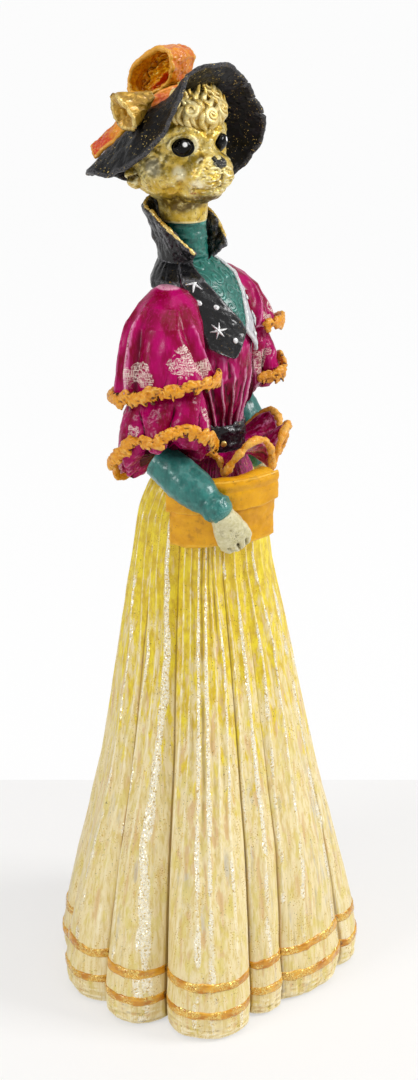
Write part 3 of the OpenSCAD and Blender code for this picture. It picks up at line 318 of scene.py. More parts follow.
class Paint(Nodes):
    """Short way to write one procedural material. Sizes are in millimetres."""
    def __init__(self, name):
        self.mat = bpy.data.materials.new(name)
        super().__init__(self.mat)
        self.bsdf = self.node("BsdfPrincipled")
        self.out = self.node("OutputMaterial", {"Surface": self.bsdf.outputs[0]})
        self.place = self.node("TexCoord").outputs["Object"]

    def attr(self, name):
        return self.node("Attribute", attribute_name=name).outputs["Fac"]

    def stretch(self, sizes):
        """Object position divided by three sizes."""
        scale = [1 / (s * MM) for s in sizes]
        return self.node("Mapping", {"Vector": self.place, "Scale": scale}, vector_type="POINT").outputs[0]

    def noise(self, size, detail=3.0, rough=.55, seed=0.0):
        """Noise from 0 to 1 with blotches about size long; size is a length or three."""
        sizes = size if isinstance(size, tuple) else (size,) * 3
        inputs = {"Vector": self.stretch(sizes), "W": seed, "Scale": 1.0, "Detail": detail,
                  "Roughness": rough}
        return self.node("TexNoise", inputs, noise_dimensions="4D").outputs["Fac"]

    def ramp(self, fac, lo, hi):
        """0 below lo, 1 above hi, smooth between. With hi below lo the other way round."""
        flip = hi < lo
        inputs = {"Value": fac, "From Min": min(lo, hi), "From Max": max(lo, hi),
                  "To Min": float(flip), "To Max": float(not flip)}
        return self.node("MapRange", inputs, interpolation_type="SMOOTHSTEP").outputs[0]

    def spots(self, size, detail, rough, seed, lo, hi):
        """Noise that is pressed to spots by a ramp."""
        return self.ramp(self.noise(size, detail, rough, seed), lo, hi)

    def height(self):
        """Height over the table in millimetres."""
        return self.math("MULTIPLY", self.node("SeparateXYZ", {0: self.place}).outputs["Z"], 1 / MM)

    def times(self, *factors):
        out = factors[0]
        for f in factors[1:]:
            out = self.math("MULTIPLY", out, f)
        return out

    def layers(self, base, *steps):
        """Colour after laying each (mask, colour) over the one before."""
        out = base
        for fac, colour in steps:
            out = self.mix(fac, out, colour)
        return out

    def lerp(self, fac, a, b):
        return self.node("Mix", {0: fac, 2: a, 3: b}, data_type="FLOAT").outputs[0]

    def bump(self, height, depth, strength=1.0, normal=None):
        """Bump of a height from 0 to 1 that is depth millimetres deep."""
        inputs = {"Distance": depth * MM, "Strength": strength, "Height": height, "Normal": normal}
        return self.node("Bump", inputs).outputs[0]

    def flakes(self, size, amount, normal):
        """Normal that jumps from flake to flake where amount is above zero, as leaf and glitter do."""
        cells = self.node("TexVoronoi",
                          {"Vector": self.stretch((size,) * 3), "Scale": 1.0, "Randomness": 1.0})
        out = self.node("VectorMath", {0: cells.outputs["Color"], 1: (.5, .5, .5)}, operation="SUBTRACT")
        out = self.node("VectorMath", {0: out.outputs[0], "Scale": amount}, operation="SCALE")
        out = self.node("VectorMath", {0: out.outputs[0], 1: normal}, operation="ADD")
        return self.node("VectorMath", {0: out.outputs[0]}, operation="NORMALIZE").outputs[0]

    def finish(self, colour, rough, normal, metal=0.0, **plain):
        """The material, with plain numbers for any other input of the shader."""
        inputs = {"Base_Color": linear(colour), "Roughness": rough, "Normal": normal, "Metallic": metal,
                  "Specular_IOR_Level": .35, **plain}
        for k, value in inputs.items():
            self.put(self.bsdf.inputs[k.replace("_", " ")], value)
        return self.mat


# ---------------------------------------------------------------- paints
def dusty(p, colour, size, seed, dark, much):
    """Colour with fine dark specks over much of it, a share near 0.1 to 0.4, as the whole figure carries."""
    dots = p.ramp(p.noise(size, 1.0, .5, seed), .78 - much * .45, .8 - much * .42)
    return p.mix(p.times(dots, p.spots(9.0, 2.0, .5, seed + 1, .42, .62)), colour, dark)


def paint_skirt():
    p = Paint("skirt_paint")
    z = p.height()
    edge = p.attr("edge")
    leaf = p.attr("leaf")
    streak = p.noise((1.1, 1.1, 16.0), 4.0, .6, 1.0)
    streak_fine = p.noise((.45, .45, 6.0), 3.0, .6, 2.0)
    mottle = p.noise((2.6, 2.6, 5.0), 5.0, .65, 5.0)
    blotch = p.noise((7.0, 7.0, 22.0), 3.0, .5, 9.0)
    grit = p.noise(.55, 2.0, .7, 12.0)
    high = p.math("ADD", z, p.math("MULTIPLY", blotch, 70.0))
    cover = p.math("ADD", p.noise((2.2, 2.2, 13.0), 4.0, .62, 5.0),
                   p.math("MULTIPLY", p.math("SUBTRACT", z, 132.0), .0026))
    lemon = p.times(p.ramp(high, 92.0, 145.0), p.ramp(cover, .42, .56))
    low = p.ramp(z, 120.0, 70.0)
    cream = p.mix(p.ramp(streak, .3, .7), "DAC072", "F7EABE")
    colour = p.layers(
        cream,
        (p.times(p.ramp(streak, .52, .7), .55), "E3C588"),
        (p.times(p.ramp(blotch, .5, .64), p.ramp(edge, .56, .42), low, .75), "BDB7AE"),
        (p.times(p.spots((3.0, 3.0, 30.0), 3.0, .5, 21.0, .52, .6), p.ramp(edge, .58, .45), .8), "D9B27C"),
        (p.times(p.spots((4.0, 4.0, 9.0), 4.0, .6, 31.0, .5, .62), .5), "DCC95A"),
        (p.times(lemon, .92), p.mix(p.ramp(mottle, .36, .64), "D2B008", "F2DC18")),
        # Painted shade: darker gold in the creases of the pleats
        (p.times(p.ramp(edge, .45, .28), .7), "A08038"),
        # Painted highlight: pale streaks along the ridges of the pleats
        (p.times(p.ramp(edge, .55, .7), p.ramp(streak_fine, .34, .6), .75), "FFF7DC"),
        (p.times(p.ramp(leaf, .35, .7), p.ramp(grit, .38, .5)), "FFF9E2"),
        (p.times(p.ramp(leaf, .2, .5), p.spots(.85, 2.0, .6, 61.0, .55, .62), .75), "C29C34"),
        # Top of the skirt under the peplum: the jacket's magenta, mixed with dark crimson as painted shade
        (p.ramp(p.math("ADD", z, p.math("MULTIPLY", grit, 3.0)), 203.0, 204.5),
         p.mix(p.ramp(streak_fine, .4, .6), "6A0230", "B00A70")),
    )
    specks_mask = p.times(p.spots(.62, 1.0, .5, 41.0, .64, .7),
                          p.spots((4.0, 4.0, 11.0), 3.0, .6, 43.0, .47, .6),
                          p.ramp(edge, .64, .5))
    colour = p.layers(colour, (p.times(specks_mask, .85), "4A431C"))
    glitter = p.times(p.spots(.5, 1.0, .5, 51.0, .6, .66), p.spots((5.0, 5.0, 12.0), 3.0, .6, 53.0, .48, .6))
    colour = p.layers(colour, (p.times(glitter, .8), "D8A92E"))
    shine = p.math("MAXIMUM", p.times(p.ramp(leaf, .3, .6), p.ramp(grit, .36, .5)), glitter)
    base = p.bump(p.lerp(.5, streak_fine, grit), .22, .7, p.bump(streak, .35, .6))
    normal = p.flakes(.7, p.math("MULTIPLY", shine, .75), base)
    rough = p.lerp(shine, p.lerp(streak, .42, .62), .24)
    return p.finish(colour, rough, normal, p.math("MULTIPLY", shine, .45), Coat_Weight=.25,
                    Coat_Roughness=.14)


def paint_gold_band():
    p = Paint("gold_band_paint")
    edge = p.attr("edge")
    wash = p.noise((6.0, 6.0, 2.0), 4.0, .6, 2.0)
    grit = p.noise(.6, 2.0, .7, 4.0)
    patch = p.spots(7.0, 3.0, .6, 8.0, .44, .54)
    fleck = p.times(patch, p.ramp(grit, .44, .54))
    colour = p.layers(p.mix(p.ramp(wash, .35, .65), "BA7408", "E0A42C"), (p.ramp(edge, .46, .3), "7A4406"),
                      (p.times(fleck, .85), "F0D478"))
    normal = p.flakes(.6, p.math("MULTIPLY", fleck, .9), p.bump(p.noise(1.6, 3.0, .6, 6.0), .3, .8))
    return p.finish(colour, p.lerp(fleck, .16, .3), normal, p.math("MULTIPLY", fleck, .6), Coat_Weight=.5,
                    Coat_Roughness=.08)


def paint_gloss(name, deep, main, light, worn, seed, grain, rough, wear_and_highlight, specked,
                brush=(2.0, 2.0, 6.0), metal=0.0, coat=.35, bump=.25):
    """Brushed resin paint: deep in the folds, worn on the ridges, with brush strokes, grain and specks. On the
    curls the folds are painted shade and the worn ridges a painted highlight.
    """
    p = Paint(name)
    edge = p.attr("edge")
    strokes = p.noise(brush, 4.0, .62, seed + 1)
    grit = p.noise(.5 * grain, 3.0, .7, seed + 2)
    patch = p.noise(5.0 * grain, 3.0, .6, seed + 3)
    uneven = p.math("ADD", p.math("MULTIPLY", grit, .5), p.math("MULTIPLY", patch, .5))
    wear_and_highlight_mask = p.times(p.ramp(edge, .54, .72), p.ramp(uneven, .42, .54), wear_and_highlight)
    colour = p.layers(p.mix(p.ramp(strokes, .3, .7), main, light), (p.ramp(edge, .47, .28), deep),
                      (p.times(p.ramp(patch, .56, .66), .35), deep), (wear_and_highlight_mask, worn))
    colour = dusty(p, colour, .55 * grain, seed + 5, deep, specked)
    normal = p.bump(p.lerp(.5, strokes, grit), bump, .8)
    return p.finish(colour, p.lerp(strokes, rough * .75, rough * 1.35), normal, metal, Coat_Weight=coat,
                    Coat_Roughness=.12)


def paint_magenta():
    """Satin magenta, dark crimson in the folds as painted shade and pink on the ridges as painted highlight,
    rubbed pale and hatched where hands catch it.
    """
    p = Paint("jacket_paint")
    edge = p.attr("edge")
    hue = p.noise((6.0, 6.0, 15.0), 2.0, .45, 3.0)
    strokes = p.noise((.8, .8, 9.0), 3.0, .6, 1.0)
    grit = p.noise(.45, 3.0, .7, 2.0)
    across = p.noise((2.4, 2.4, .22), 2.0, .5, 7.0)
    down = p.noise((.24, .24, 2.6), 2.0, .5, 8.0)
    hatch = p.times(p.ramp(p.math("MAXIMUM", across, down), .5, .62),
                    p.ramp(p.math("ADD", p.attr("worn"), p.math("MULTIPLY", grit, .3)), .5, .75))
    ridge_highlight = p.times(p.ramp(edge, .545, .66), p.ramp(strokes, .36, .56))
    colour = p.layers(p.mix(p.ramp(hue, .38, .62), "82002A", "AE005E"),
                      (p.times(p.ramp(strokes, .48, .66), .4), "C20C72"),
                      # Painted shade: dark crimson in the folds
                      (p.ramp(edge, .475, .34), "560020"),
                      # Painted highlights: pink on the ridges, near white on the sharpest of them
                      (p.times(ridge_highlight, .5), "E58ABC"),
                      (p.times(p.ramp(edge, .66, .8), p.ramp(grit, .4, .5), .4), "F3D3D8"),
                      (hatch, "EAD8CC"))
    colour = dusty(p, colour, .45, 5.0, "3C0018", .16)
    normal = p.bump(p.lerp(.4, strokes, grit), .12, .7)
    return p.finish(colour, p.lerp(hatch, p.lerp(strokes, .2, .32), .5), normal, Coat_Weight=.1,
                    Coat_Roughness=.1, Specular_IOR_Level=.12)


def paint_face():
    """Pale leaf over olive gold. Attributes mark places of the face: painted shade and the mouth (dark),
    painted highlights, blush and ink.
    """
    p = Paint("gold_leaf")
    edge = p.attr("edge")
    dark = p.attr("dark")
    sheet = p.noise(6.0, 4.0, .6, 1.0)
    grit = p.noise(.55, 3.0, .7, 2.0)
    wash = p.noise(2.4, 4.0, .62, 4.0)
    fine = p.noise((.9, .9, .6), 3.0, .6, 6.0)
    painted_highlight = p.attr("painted_highlight")
    colour = p.layers(p.mix(p.ramp(sheet, .38, .62), "D2AE34", "EFDB88"),
                      (p.times(p.ramp(wash, .5, .62), .6), "A5801E"),
                      (p.times(p.spots(1.7, 4.0, .66, 14.0, .56, .64), .7), "7A5C14"),
                      (p.times(p.ramp(fine, .54, .64), p.ramp(sheet, .42, .58), .8), "FBF3CC"),
                      # Painted shade: dark olive in the hollows
                      (p.times(p.ramp(edge, .46, .3), .8), "6A4E10"),
                      # The dark places: painted shade beside the nose, over the brows and under the jaw, and
                      # the mouth's line
                      (p.times(p.ramp(dark, .2, .85), p.ramp(wash, .24, .52)), "604A0E"),
                      # Painted highlight: pale leaf on the ridges
                      (p.times(p.ramp(edge, .55, .7), .6), "F7EFC2"),
                      # Painted highlights: pale patches on the cheeks, the muzzle and beside the nose
                      (p.times(p.ramp(painted_highlight, .25, .8), p.ramp(wash, .28, .5), .85), "FFF6CC"),
                      (p.times(p.ramp(p.attr("blush"), .3, .7), p.ramp(fine, .4, .54), .8), "A83A22"),
                      (p.ramp(p.attr("ink"), .4, .6), "0B0806"))
    colour = dusty(p, colour, .45, 5.0, "3E2E0C", .22)
    normal = p.flakes(1.2, .06, p.bump(p.lerp(.5, wash, grit), .16, .8))
    return p.finish(colour, p.lerp(grit, .26, .46), normal, p.lerp(p.ramp(dark, .3, .8), .42, .2),
                    Coat_Weight=.15, Coat_Roughness=.15)


def paint_black():
    p = Paint("black_paint")
    edge = p.attr("edge")
    strokes = p.noise(1.2, 5.0, .65, 1.0)
    grit = p.noise(.5, 3.0, .7, 2.0)
    rub = p.times(p.ramp(edge, .56, .72), p.ramp(grit, .44, .56))
    gold = p.times(p.spots(.8, 2.0, .6, 8.0, .67, .7), p.spots(6.0, 2.0, .5, 9.0, .5, .6))
    colour = p.layers(p.mix(p.ramp(strokes, .35, .7), "070708", "151518"), (p.times(rub, .55), "77757A"),
                      (p.times(p.spots(3.5, 4.0, .6, 5.0, .58, .7), .3), "38363A"), (gold, "C79C46"))
    normal = p.bump(p.lerp(.5, strokes, grit), .22, .8)
    return p.finish(colour, p.lerp(strokes, .2, .36), normal, Coat_Weight=.3, Coat_Roughness=.1)


def paint_eye():
    p = Paint("eye_paint")
    fleck = p.times(p.spots(.45, 1.0, .5, 4.0, .64, .7), p.spots(2.0, 2.0, .5, 5.0, .5, .6))
    colour = p.layers(p.mix(p.noise(1.6, 3.0, .6, 2.0), "040404", "100E0D"), (p.times(fleck, .8), "8E8A7C"),
                      # Painted reflection: a white catchlight on each eye
                      (p.attr("dab"), "FFFFFF"))
    return p.finish(colour, p.lerp(p.attr("dab"), .07, .3), p.bump(p.noise(1.2, 3.0, .6, 3.0), .06, .6), 0.0,
                    Specular_IOR_Level=.15)


def paint_hat():
    p = Paint("hat_paint")
    edge = p.attr("edge")
    strokes = p.noise(1.4, 5.0, .65, 1.0)
    grit = p.noise(.5, 3.0, .7, 2.0)
    # Pale grey on the ridges: partly worn paint, partly a painted highlight, as along the brim's rolled edge
    rub = p.times(p.ramp(edge, .56, .72), p.ramp(grit, .38, .56))
    gold = p.times(p.spots(.7, 2.0, .6, 8.0, .63, .66), p.spots(5.0, 3.0, .6, 9.0, .46, .56))
    colour = p.layers(p.mix(p.ramp(strokes, .35, .7), "050506", "0F0F11"), (p.times(rub, .5), "6C6A6C"),
                      (p.times(p.spots(4.5, 4.0, .6, 5.0, .58, .72), .25), "2A292B"), (gold, "F0D078"))
    normal = p.bump(p.lerp(.5, strokes, grit), .3, .8)
    return p.finish(colour, p.lerp(strokes, .26, .42), normal, p.times(gold, .5), Specular_IOR_Level=.16)


def paint_bow():
    p = Paint("bow_paint")
    edge = p.attr("edge")
    wash = p.noise(3.5, 4.0, .6, 1.0)
    grit = p.noise(.6, 3.0, .7, 2.0)
    gilt = p.ramp(p.attr("gilt"), .35, .7)
    orange = p.layers(p.mix(p.ramp(wash, .35, .65), "D2690A", "EA9414"),
                      (p.times(p.spots(6.0, 2.0, .5, 7.0, .54, .66), .5), "CC3C12"),
                      (p.times(p.ramp(p.attr("red"), .3, .7), p.ramp(grit, .2, .6)), "CE2E0C"),
                      (p.times(p.ramp(edge, .55, .72), .7), "E8B03A"), (p.ramp(edge, .45, .25), "7A2E04"))
    gold = p.layers(p.mix(p.spots(1.6, 4.0, .6, 9.0, .38, .62), "D48C08", "FFCC22"),
                    (p.times(p.ramp(edge, .44, .26), .8), "8A4A04"),
                    (p.times(p.ramp(edge, .56, .7), .6), "FBE27A"))
    normal = p.bump(p.lerp(.5, wash, grit), .3, .8)
    return p.finish(p.mix(gilt, orange, gold), p.lerp(wash, .18, .34), normal, p.times(gilt, .15),
                    Coat_Weight=.2, Coat_Roughness=.1)


def paint_plain(name, a, b, rough, size, metal=0.0):
    p = Paint(name)
    n = p.noise(size, 4.0, .6, 3.0)
    return p.finish(p.mix(n, a, b), p.lerp(n, rough * .8, rough * 1.2), p.bump(n, .2, .7), metal)


# A brushed paint has colours for folds, main, light, worn, then seed, grain, roughness, wear, specks, brush
PAINT = {
    "skirt": paint_skirt(),
    "band": paint_gold_band(),
    "jacket": paint_magenta(),
    "leaf": paint_face(),
    "black": paint_black(),
    "braid": paint_gloss("braid_paint", "5E2E04", "D07E06", "EAA014", "F6CC66", 10.0, .8, .3, .45, .14,
                         (1.6, 1.6, 1.2), coat=.15, bump=.3),
    "grey": paint_gloss("grey_paint", "5A5A60", "A9ABB0", "CCCED2", "ECECEA", 20.0, .8, .42, .7, .2,
                        (.6, .6, 5.0)),
    "silver": paint_gloss("silver_paint", "4A4A4C", "9C9C9E", "C8C8CA", "F4F4F4", 30.0, .5, .3, .8, .1,
                          metal=.4),
    "teal": paint_gloss("teal_paint", "0E3A38", "1A5E58", "2E7C74", "6FB0A6", 40.0, .9, .3, .45, .12,
                        (2.2, 2.2, 5.0)),
    "blouse": paint_gloss("blouse_paint", "0A2E2A", "10584E", "20786A", "5FA89E", 45.0, .5, .28, .8, .1,
                          (1.2, 1.2, 3.0)),
    "bag": paint_gloss("bag_paint", "7A4604", "D49200", "E8A802", "F6D050", 50.0, 1.0, .34, .25, .12,
                       (6.0, 6.0, 4.0), coat=.1),
    "paw": paint_gloss("paw_paint", "5A4E30", "C3BA88", "DDD6B0", "EFE9CC", 60.0, .7, .42, .5, .35,
                       (1.6, 1.6, 1.6)),
    "orange": paint_gloss("orange_paint", "7A2A08", "D8501A", "E88A1C", "F5BE5A", 80.0, .9, .28, .45, .1,
                          (3.0, 3.0, 3.0), coat=.2),
    "bronze": paint_gloss("bronze_paint", "4A3008", "A67A1C", "D0A43C", "F4DC8C", 90.0, .7, .24, .8, .2,
                          (2.0, 2.0, 2.0), metal=.35),
    "eye": paint_eye(),
    "hat": paint_hat(),
    "bow": paint_bow(),
    # Curls: the fold colour is painted shade in the gaps, and the worn colour a painted highlight on the
    # strands
    "curl": paint_gloss("curl_paint", "4E370A", "C8A032", "DDBE5C", "F8ECB4", 97.0, .7, .3, .7, .2,
                        (2.0, 2.0, 2.0), metal=.3, coat=.1),
    "nose": paint_gloss("nose_paint", "060606", "101010", "24221E", "C9BE94", 95.0, .6, .2, 1.0, .3,
                        (1.0, 1.0, 1.0), coat=.2),
    "felt": paint_plain("felt", "2C3A22", "4A5A38", .95, .5),
    "board": paint_plain("board", "9A7A4E", "C4A676", .8, (6.0, .6, .6)),
    "dowel": paint_plain("dowel_wood", "B08C58", "D8BC8C", .6, (.6, .6, 8.0)),
    "steel": paint_plain("pin_steel", "8E9094", "C0C2C6", .3, 1.5, .9),
}


# ---------------------------------------------------------------- slabs, tubes and lumps
DETAIL = 1.0
HALF_ROUND = .7071


def count(n):
    return max(6, int(n * DETAIL))


def slab(mid, thick, wrap=False, edge=.5, normals=None):
    """Closed sheet about a grid of middle points. edge is how far its rim bulges, as a share of thick."""
    mid = np.asarray(mid, float)
    n = grid_normals(mid, wrap) if normals is None else normals
    t = np.broadcast_to(np.asarray(thick, float), mid.shape[:2])[..., None]
    a = mid + n * t * .5
    b = mid - n * t * .5
    c = (a + b) / 2
    up = unit(c[-1] - c[-2])
    down = unit(c[0] - c[1])

    def rounded(side, k, out):
        """Row halfway round the edge, between the sheet's face and its tip."""
        return lerp(c[k], side[k], HALF_ROUND) + out * t[k] * edge * HALF_ROUND
    g = np.array([*a, rounded(a, -1, up), c[-1] + up * t[-1] * edge, rounded(b, -1, up),
                  *b[::-1], rounded(b, 0, down), c[0] + down * t[0] * edge, rounded(a, 0, down)])
    if wrap:
        return g

    def section(x):
        """Values of the middle rows in the order of the closed section."""
        return np.concatenate([x, np.repeat(x[-1:], 3, 0), x[::-1], np.repeat(x[:1], 3, 0)])

    def end(col, out):
        """Tip and halfway column of the sheet's side edge."""
        middle, away, th = section(c[:, col]), section(out), section(t[:, col])
        inner = lerp(middle, g[:, col], HALF_ROUND) + away * th * edge * HALF_ROUND
        return (middle + away * th * edge)[:, None], inner[:, None]
    left_tip, left = end(0, unit(mid[:, 0] - mid[:, 1]))
    right_tip, right = end(-1, unit(mid[:, -1] - mid[:, -2]))
    return np.concatenate([left_tip, left, g, right, right_tip], 1)


def rough_up(g, size, depth, wrap=True, wrap_rows=False, seed=0):
    """Grid pushed in and out along its normals by noise."""
    return g + grid_normals(g, wrap, wrap_rows) * (fbm(g, size, 3, seed) * depth)[..., None]


def add_slab(shape, mid, thick, wrap=False, rough=0.0, size=2.0, seed=0, normals=None):
    """Slab with a rough skin, added to a Shape."""
    g = slab(mid, thick, wrap, normals=normals)
    if rough:
        g = rough_up(g, size, rough, wrap, True, seed)
    return shape.grid(g, wrap=wrap, wrap_rows=True)


def add_tube(shape, path, radius, n, rough, size, seed, closed=False):
    """Tube with a rough skin and round ends, added to a Shape."""
    path = np.asarray(path, float)
    r = np.broadcast_to(np.asarray(radius, float), (len(path),)).copy()
    if not closed:
        a = np.linspace(0, math.pi / 2, 5)[:-1]
        t0, t1 = unit(path[0] - path[1]), unit(path[-1] - path[-2])
        head = [path[0] + t0 * r[0] * math.cos(x) for x in a]
        tail = [path[-1] + t1 * r[-1] * math.cos(x) for x in a[::-1]]
        path = np.concatenate([head, path, tail])
        r = np.concatenate([[max(r[0] * math.sin(x), .02) for x in a], r,
                            [max(r[-1] * math.sin(x), .02) for x in a[::-1]]])
    g = tube(path, r, n, closed=closed)
    centre = path[:, None]
    g = centre + (g - centre) * (1 + (fbm(g, size, 3, seed) * rough)[..., None])
    return shape.grid(g, wrap_rows=closed, cap0=not closed, cap1=not closed)


def resample(path, step):
    """Points about step apart along a path."""
    path = np.asarray(path, float)
    d = np.concatenate([[0], np.cumsum(np.linalg.norm(np.diff(path, axis=0), axis=1))])
    s = np.linspace(0, d[-1], max(4, int(d[-1] / step)))
    return np.stack([np.interp(s, d, path[:, k]) for k in range(3)], -1)


def curve(points, n):
    """Smooth curve (Catmull-Rom) through points."""
    p = np.asarray(points, float)
    p = np.concatenate([[2 * p[0] - p[1]], p, [2 * p[-1] - p[-2]]])
    out = []
    segs = len(p) - 3
    for u in np.linspace(0, segs - 1e-9, n):
        k = int(u)
        t = u - k
        a, b, c, d = p[k:k + 4]
        square, cube = 2 * a - 5 * b + 4 * c - d, 3 * b - a - 3 * c + d
        out.append(.5 * (2 * b + (c - a) * t + square * t * t + cube * t ** 3))
    return np.array(out)


def smoothed(path, rounds):
    """Path after rounds of averaging, with its ends kept."""
    p = np.asarray(path, float).copy()
    for _ in range(rounds):
        p[1:-1] = (p[:-2] + 2 * p[1:-1] + p[2:]) / 4
    return p


# ---------------------------------------------------------------- sizes shared with the frame
# SEAT is the gap where one piece rests on another, PIN_GAP the one round a pin
SEAT = .25
PIN_GAP = .15
FELT_T = 1.0
SKIRT_H = 211.0
WAIST_Z = FELT_T + SKIRT_H
BODICE_H = 65.0
NECK_Z = WAIST_Z + BODICE_H
HEM_R = 57.5
WAIST_R = 10.6
PLATE_R = 34.0
PLATE_T = 4.0

# ---------------------------------------------------------------- skirt
# Hem: turns of the creases between its lobes, their radius, and how far the lobe after each one swells
CREASE_TURN = [-172, -136, -104, -76, -36, -16, 24, 56, 92, 124, 152, 188]
CREASE = [.87, .87, .861, .774, .748, .722, .87, .852, .835, .852, .87, .87]
SWELL = [.155, .169, .183, .247, .07, .052, .13, .155, .155, .155, .155]
# Up the skirt, from its rim to the waist: radius between waist and hem, depth of the lobes, lean to the back
SKIRT_R = [(0, .957), (.01, .988), (.03, 1), (.057, 1), (.121, .951), (.179, .895), (.297, .765),
           (.415, .633), (.5, .556),
           (.611, .463), (.684, .405), (.792, .311), (.882, .256), (.929, .195), (.967, .105), (1, 0)]
LOBE_FADE = [(0, 1), (.12, 1), (.3, .62), (.5, .42), (.68, .32), (.88, .25), (1, 0)]
LEAN = [(0, 0), (.3, .15), (.5, .41), (.68, .78), (.79, 1), (.9, .93), (.967, .5), (1, .12)]
LEAF_SHARE = [(0, .3), (.12, .5), (.3, .75), (.5, 1), (.7, 1.1), (.86, .8), (.95, .1)]
FOOT_R, LIP_H, BANDS_H = .9, 8, 30
BUSTLE = 4.1
# Ridges in front and on the figure's right: turn at four heights, how far each stands out, width, leaf on it
RIDGE_HEIGHTS = (.15, .33, .66, .82)
RIDGES = [
    ((-155, -150, -148, -150), .9, 4.0, 0.0), ((-134, -133, -132, -138), .9, 4.0, 0.0),
    ((-119, -118, -116, -124), 1.1, 3.2, .5), ((-108, -110, -106, -112), .6, 2.2, 0.0),
    ((-97, -104, -97, -104), .9, 2.6, .4), ((-89, -95, -90, -96), .5, 2.0, 0.0),
    ((-83, -87, -81, -85), 1.3, 4.2, 1.5), ((-76, -75, -70, -70), .8, 2.4, .1),
    ((-69, -68, -64.5, -64), .45, 1.6, 0.0), ((-60.3, -60.8, -59.2, -57.5), 1.15, 2.1, 1.1),
    ((-54.6, -55.2, -54.0, -51.7), 1.15, 2.0, 1.1), ((-48, -49.5, -47.5, -48), .5, 1.5, .1),
    ((-43.6, -44.6, -41.3, -44.2), .8, 1.8, .6), ((-34.2, -35, -33, -35), .7, 2.4, .3),
    ((-26, -24.5, -25, -25.5), .9, 2.6, .9), ((-13.8, -13.2, -9, -12), .9, 2.6, .5),
    ((-3, -1, 3.5, -4), 1.0, 2.6, .7), ((10, 12, 12, 8), .5, 3.2, .1),
    ((20, 22, 24, 24), .8, 4.0, .6), ((33, 36, 38, 38), .7, 4.0, .2),
]
BACK_RIDGES = 15
BACK_FROM = 47.0
BACK_TO = 196.0


def lobe_at(turn):
    """Radius of the scalloped hem round the skirt, as a share of the hem's radius."""
    first = CREASE_TURN[0]
    t = (np.asarray(turn, float) - first) % 360 + first
    k = np.clip(np.searchsorted(CREASE_TURN, t, side="right") - 1, 0, len(SWELL) - 1)
    ct, cs, sw = np.array(CREASE_TURN, float), np.array(CREASE), np.array(SWELL)
    s = (t - ct[k]) / (ct[k + 1] - ct[k])
    return cs[k] + (cs[k + 1] - cs[k]) * s + sw[k] * np.maximum(1 - abs(2 * s - 1) ** 2.2, 0) ** .6


def back_ridges():
    """Ridges of the far side, with turns, heights, widths and leaf drawn at random."""
    rng = np.random.default_rng(7)
    out = []
    for k in range(BACK_RIDGES):
        t = BACK_FROM + (BACK_TO - BACK_FROM) * k / (BACK_RIDGES - 1)
        t0, t1, t2, t3 = t + rng.uniform(-2, 2, 4)
        out.append(((t0, t1, t2, t3), rng.uniform(.5, 1.1), rng.uniform(2.0, 4.0), rng.choice([0, .2, .7])))
    return out


def flutes(turn, share):
    """How far the fine ridges stand out in millimetres, and how much leaf they carry."""
    out = np.zeros(np.broadcast(turn, share).shape)
    leaf = np.zeros_like(out)
    for turns, high, wide, gilt in RIDGES + back_ridges():
        mid = np.interp(share, RIDGE_HEIGHTS, turns)
        d = (np.asarray(turn) - mid + 180) % 360 - 180
        w = wide * (.9 + .5 * np.clip((.4 - share) / .4, 0, 1))
        bump = np.exp(-(np.abs(d) / w) ** 1.5)
        out += high * bump
        leaf += gilt * np.exp(-(np.abs(d) / (w * .62)) ** 3)
    fade = np.interp(share, [0, .02, .12, .3, .6, .85, .96, 1], [0, .1, .3, .75, 1, 1, .6, 0])
    return (out - .55) * fade * 1.25, leaf


def skirt_point(turn, z, off=0.0):
    """Point of the skirt's surface z above its rim, pushed out by off, and the leaf it carries."""
    share = np.clip(z / SKIRT_H, 0, 1)
    top = WAIST_R * 1.03
    r = (top + (HEM_R - top) * table(share, SKIRT_R)) * (1 - (1 - lobe_at(turn)) * table(share, LOBE_FADE))
    d = turn_dir(turn)
    flute, leaf = flutes(turn, share)
    q = xyz(d[..., 0] * 50, d[..., 1] * 50, z)
    flute = flute + fbm(q, (5, 5, 26), 3, 3) * .3 + fbm(q, (1.6, 1.6, 12), 2, 5) * .07
    # The lip under the bands is wrinkled, and the ground pushes it in
    lip = smooth(z, 9.0, 5.0)
    flute = flute + lip * (fbm(q, (9, 9, 2.6), 3, 8) * .55 + fbm(q, (3, 3, 1.4), 2, 9) * .2)
    r = r + flute - .25
    p = d * (r + off)[..., None]
    p[..., 1] += BUSTLE * table(share, LEAN)
    p[..., 2] = FELT_T + z
    return p, leaf


def build_skirt():
    """Skirt with its lip, its foot and the recess for the plate."""
    n = count(900)
    turns = around(n)
    zs = np.concatenate([np.linspace(FOOT_R, LIP_H, count(26))[:-1],
                         np.linspace(LIP_H, BANDS_H, count(52))[:-1],
                         np.linspace(BANDS_H, SKIRT_H, count(330))])
    t, z = np.meshgrid(turns, zs)
    g, leaf = skirt_point(t, z)
    # Leaf is thick high up and patchy low down
    leaf = leaf * table(z / SKIRT_H, LEAF_SHARE)
    leaf = np.clip(leaf + .55 * fbm(g, (3.0, 3.0, 9.0), 3, 21) * (leaf > .12), 0, 1.2)
    # Rounded foot of the lip, then the underside in to the plate and up its edge
    radial = turn_dir(turns)
    foot = [g[0] - radial * (FOOT_R - FOOT_R * math.sin(k)) - UP * .85 * math.cos(k)
            for k in np.radians(np.linspace(75, 0, 5))]
    inner_r = PLATE_R + SEAT
    inner = []
    for k in (.25, .6, 1.0):
        p = lerp(foot[-1], radial * inner_r + UP * FELT_T, k)
        p[:, 2] = FELT_T + .05
        inner.append(p)
    top = radial * inner_r + UP * (FELT_T + PLATE_T)
    rows = np.concatenate([[top], inner[::-1], foot[::-1], g])
    leaf = np.concatenate([np.zeros((len(rows) - len(g), n)), leaf])
    make("skirt", Shape().grid(rows, cap1=True, leaf=leaf), "skirt", edge_rounds=8, edge_size=.3)


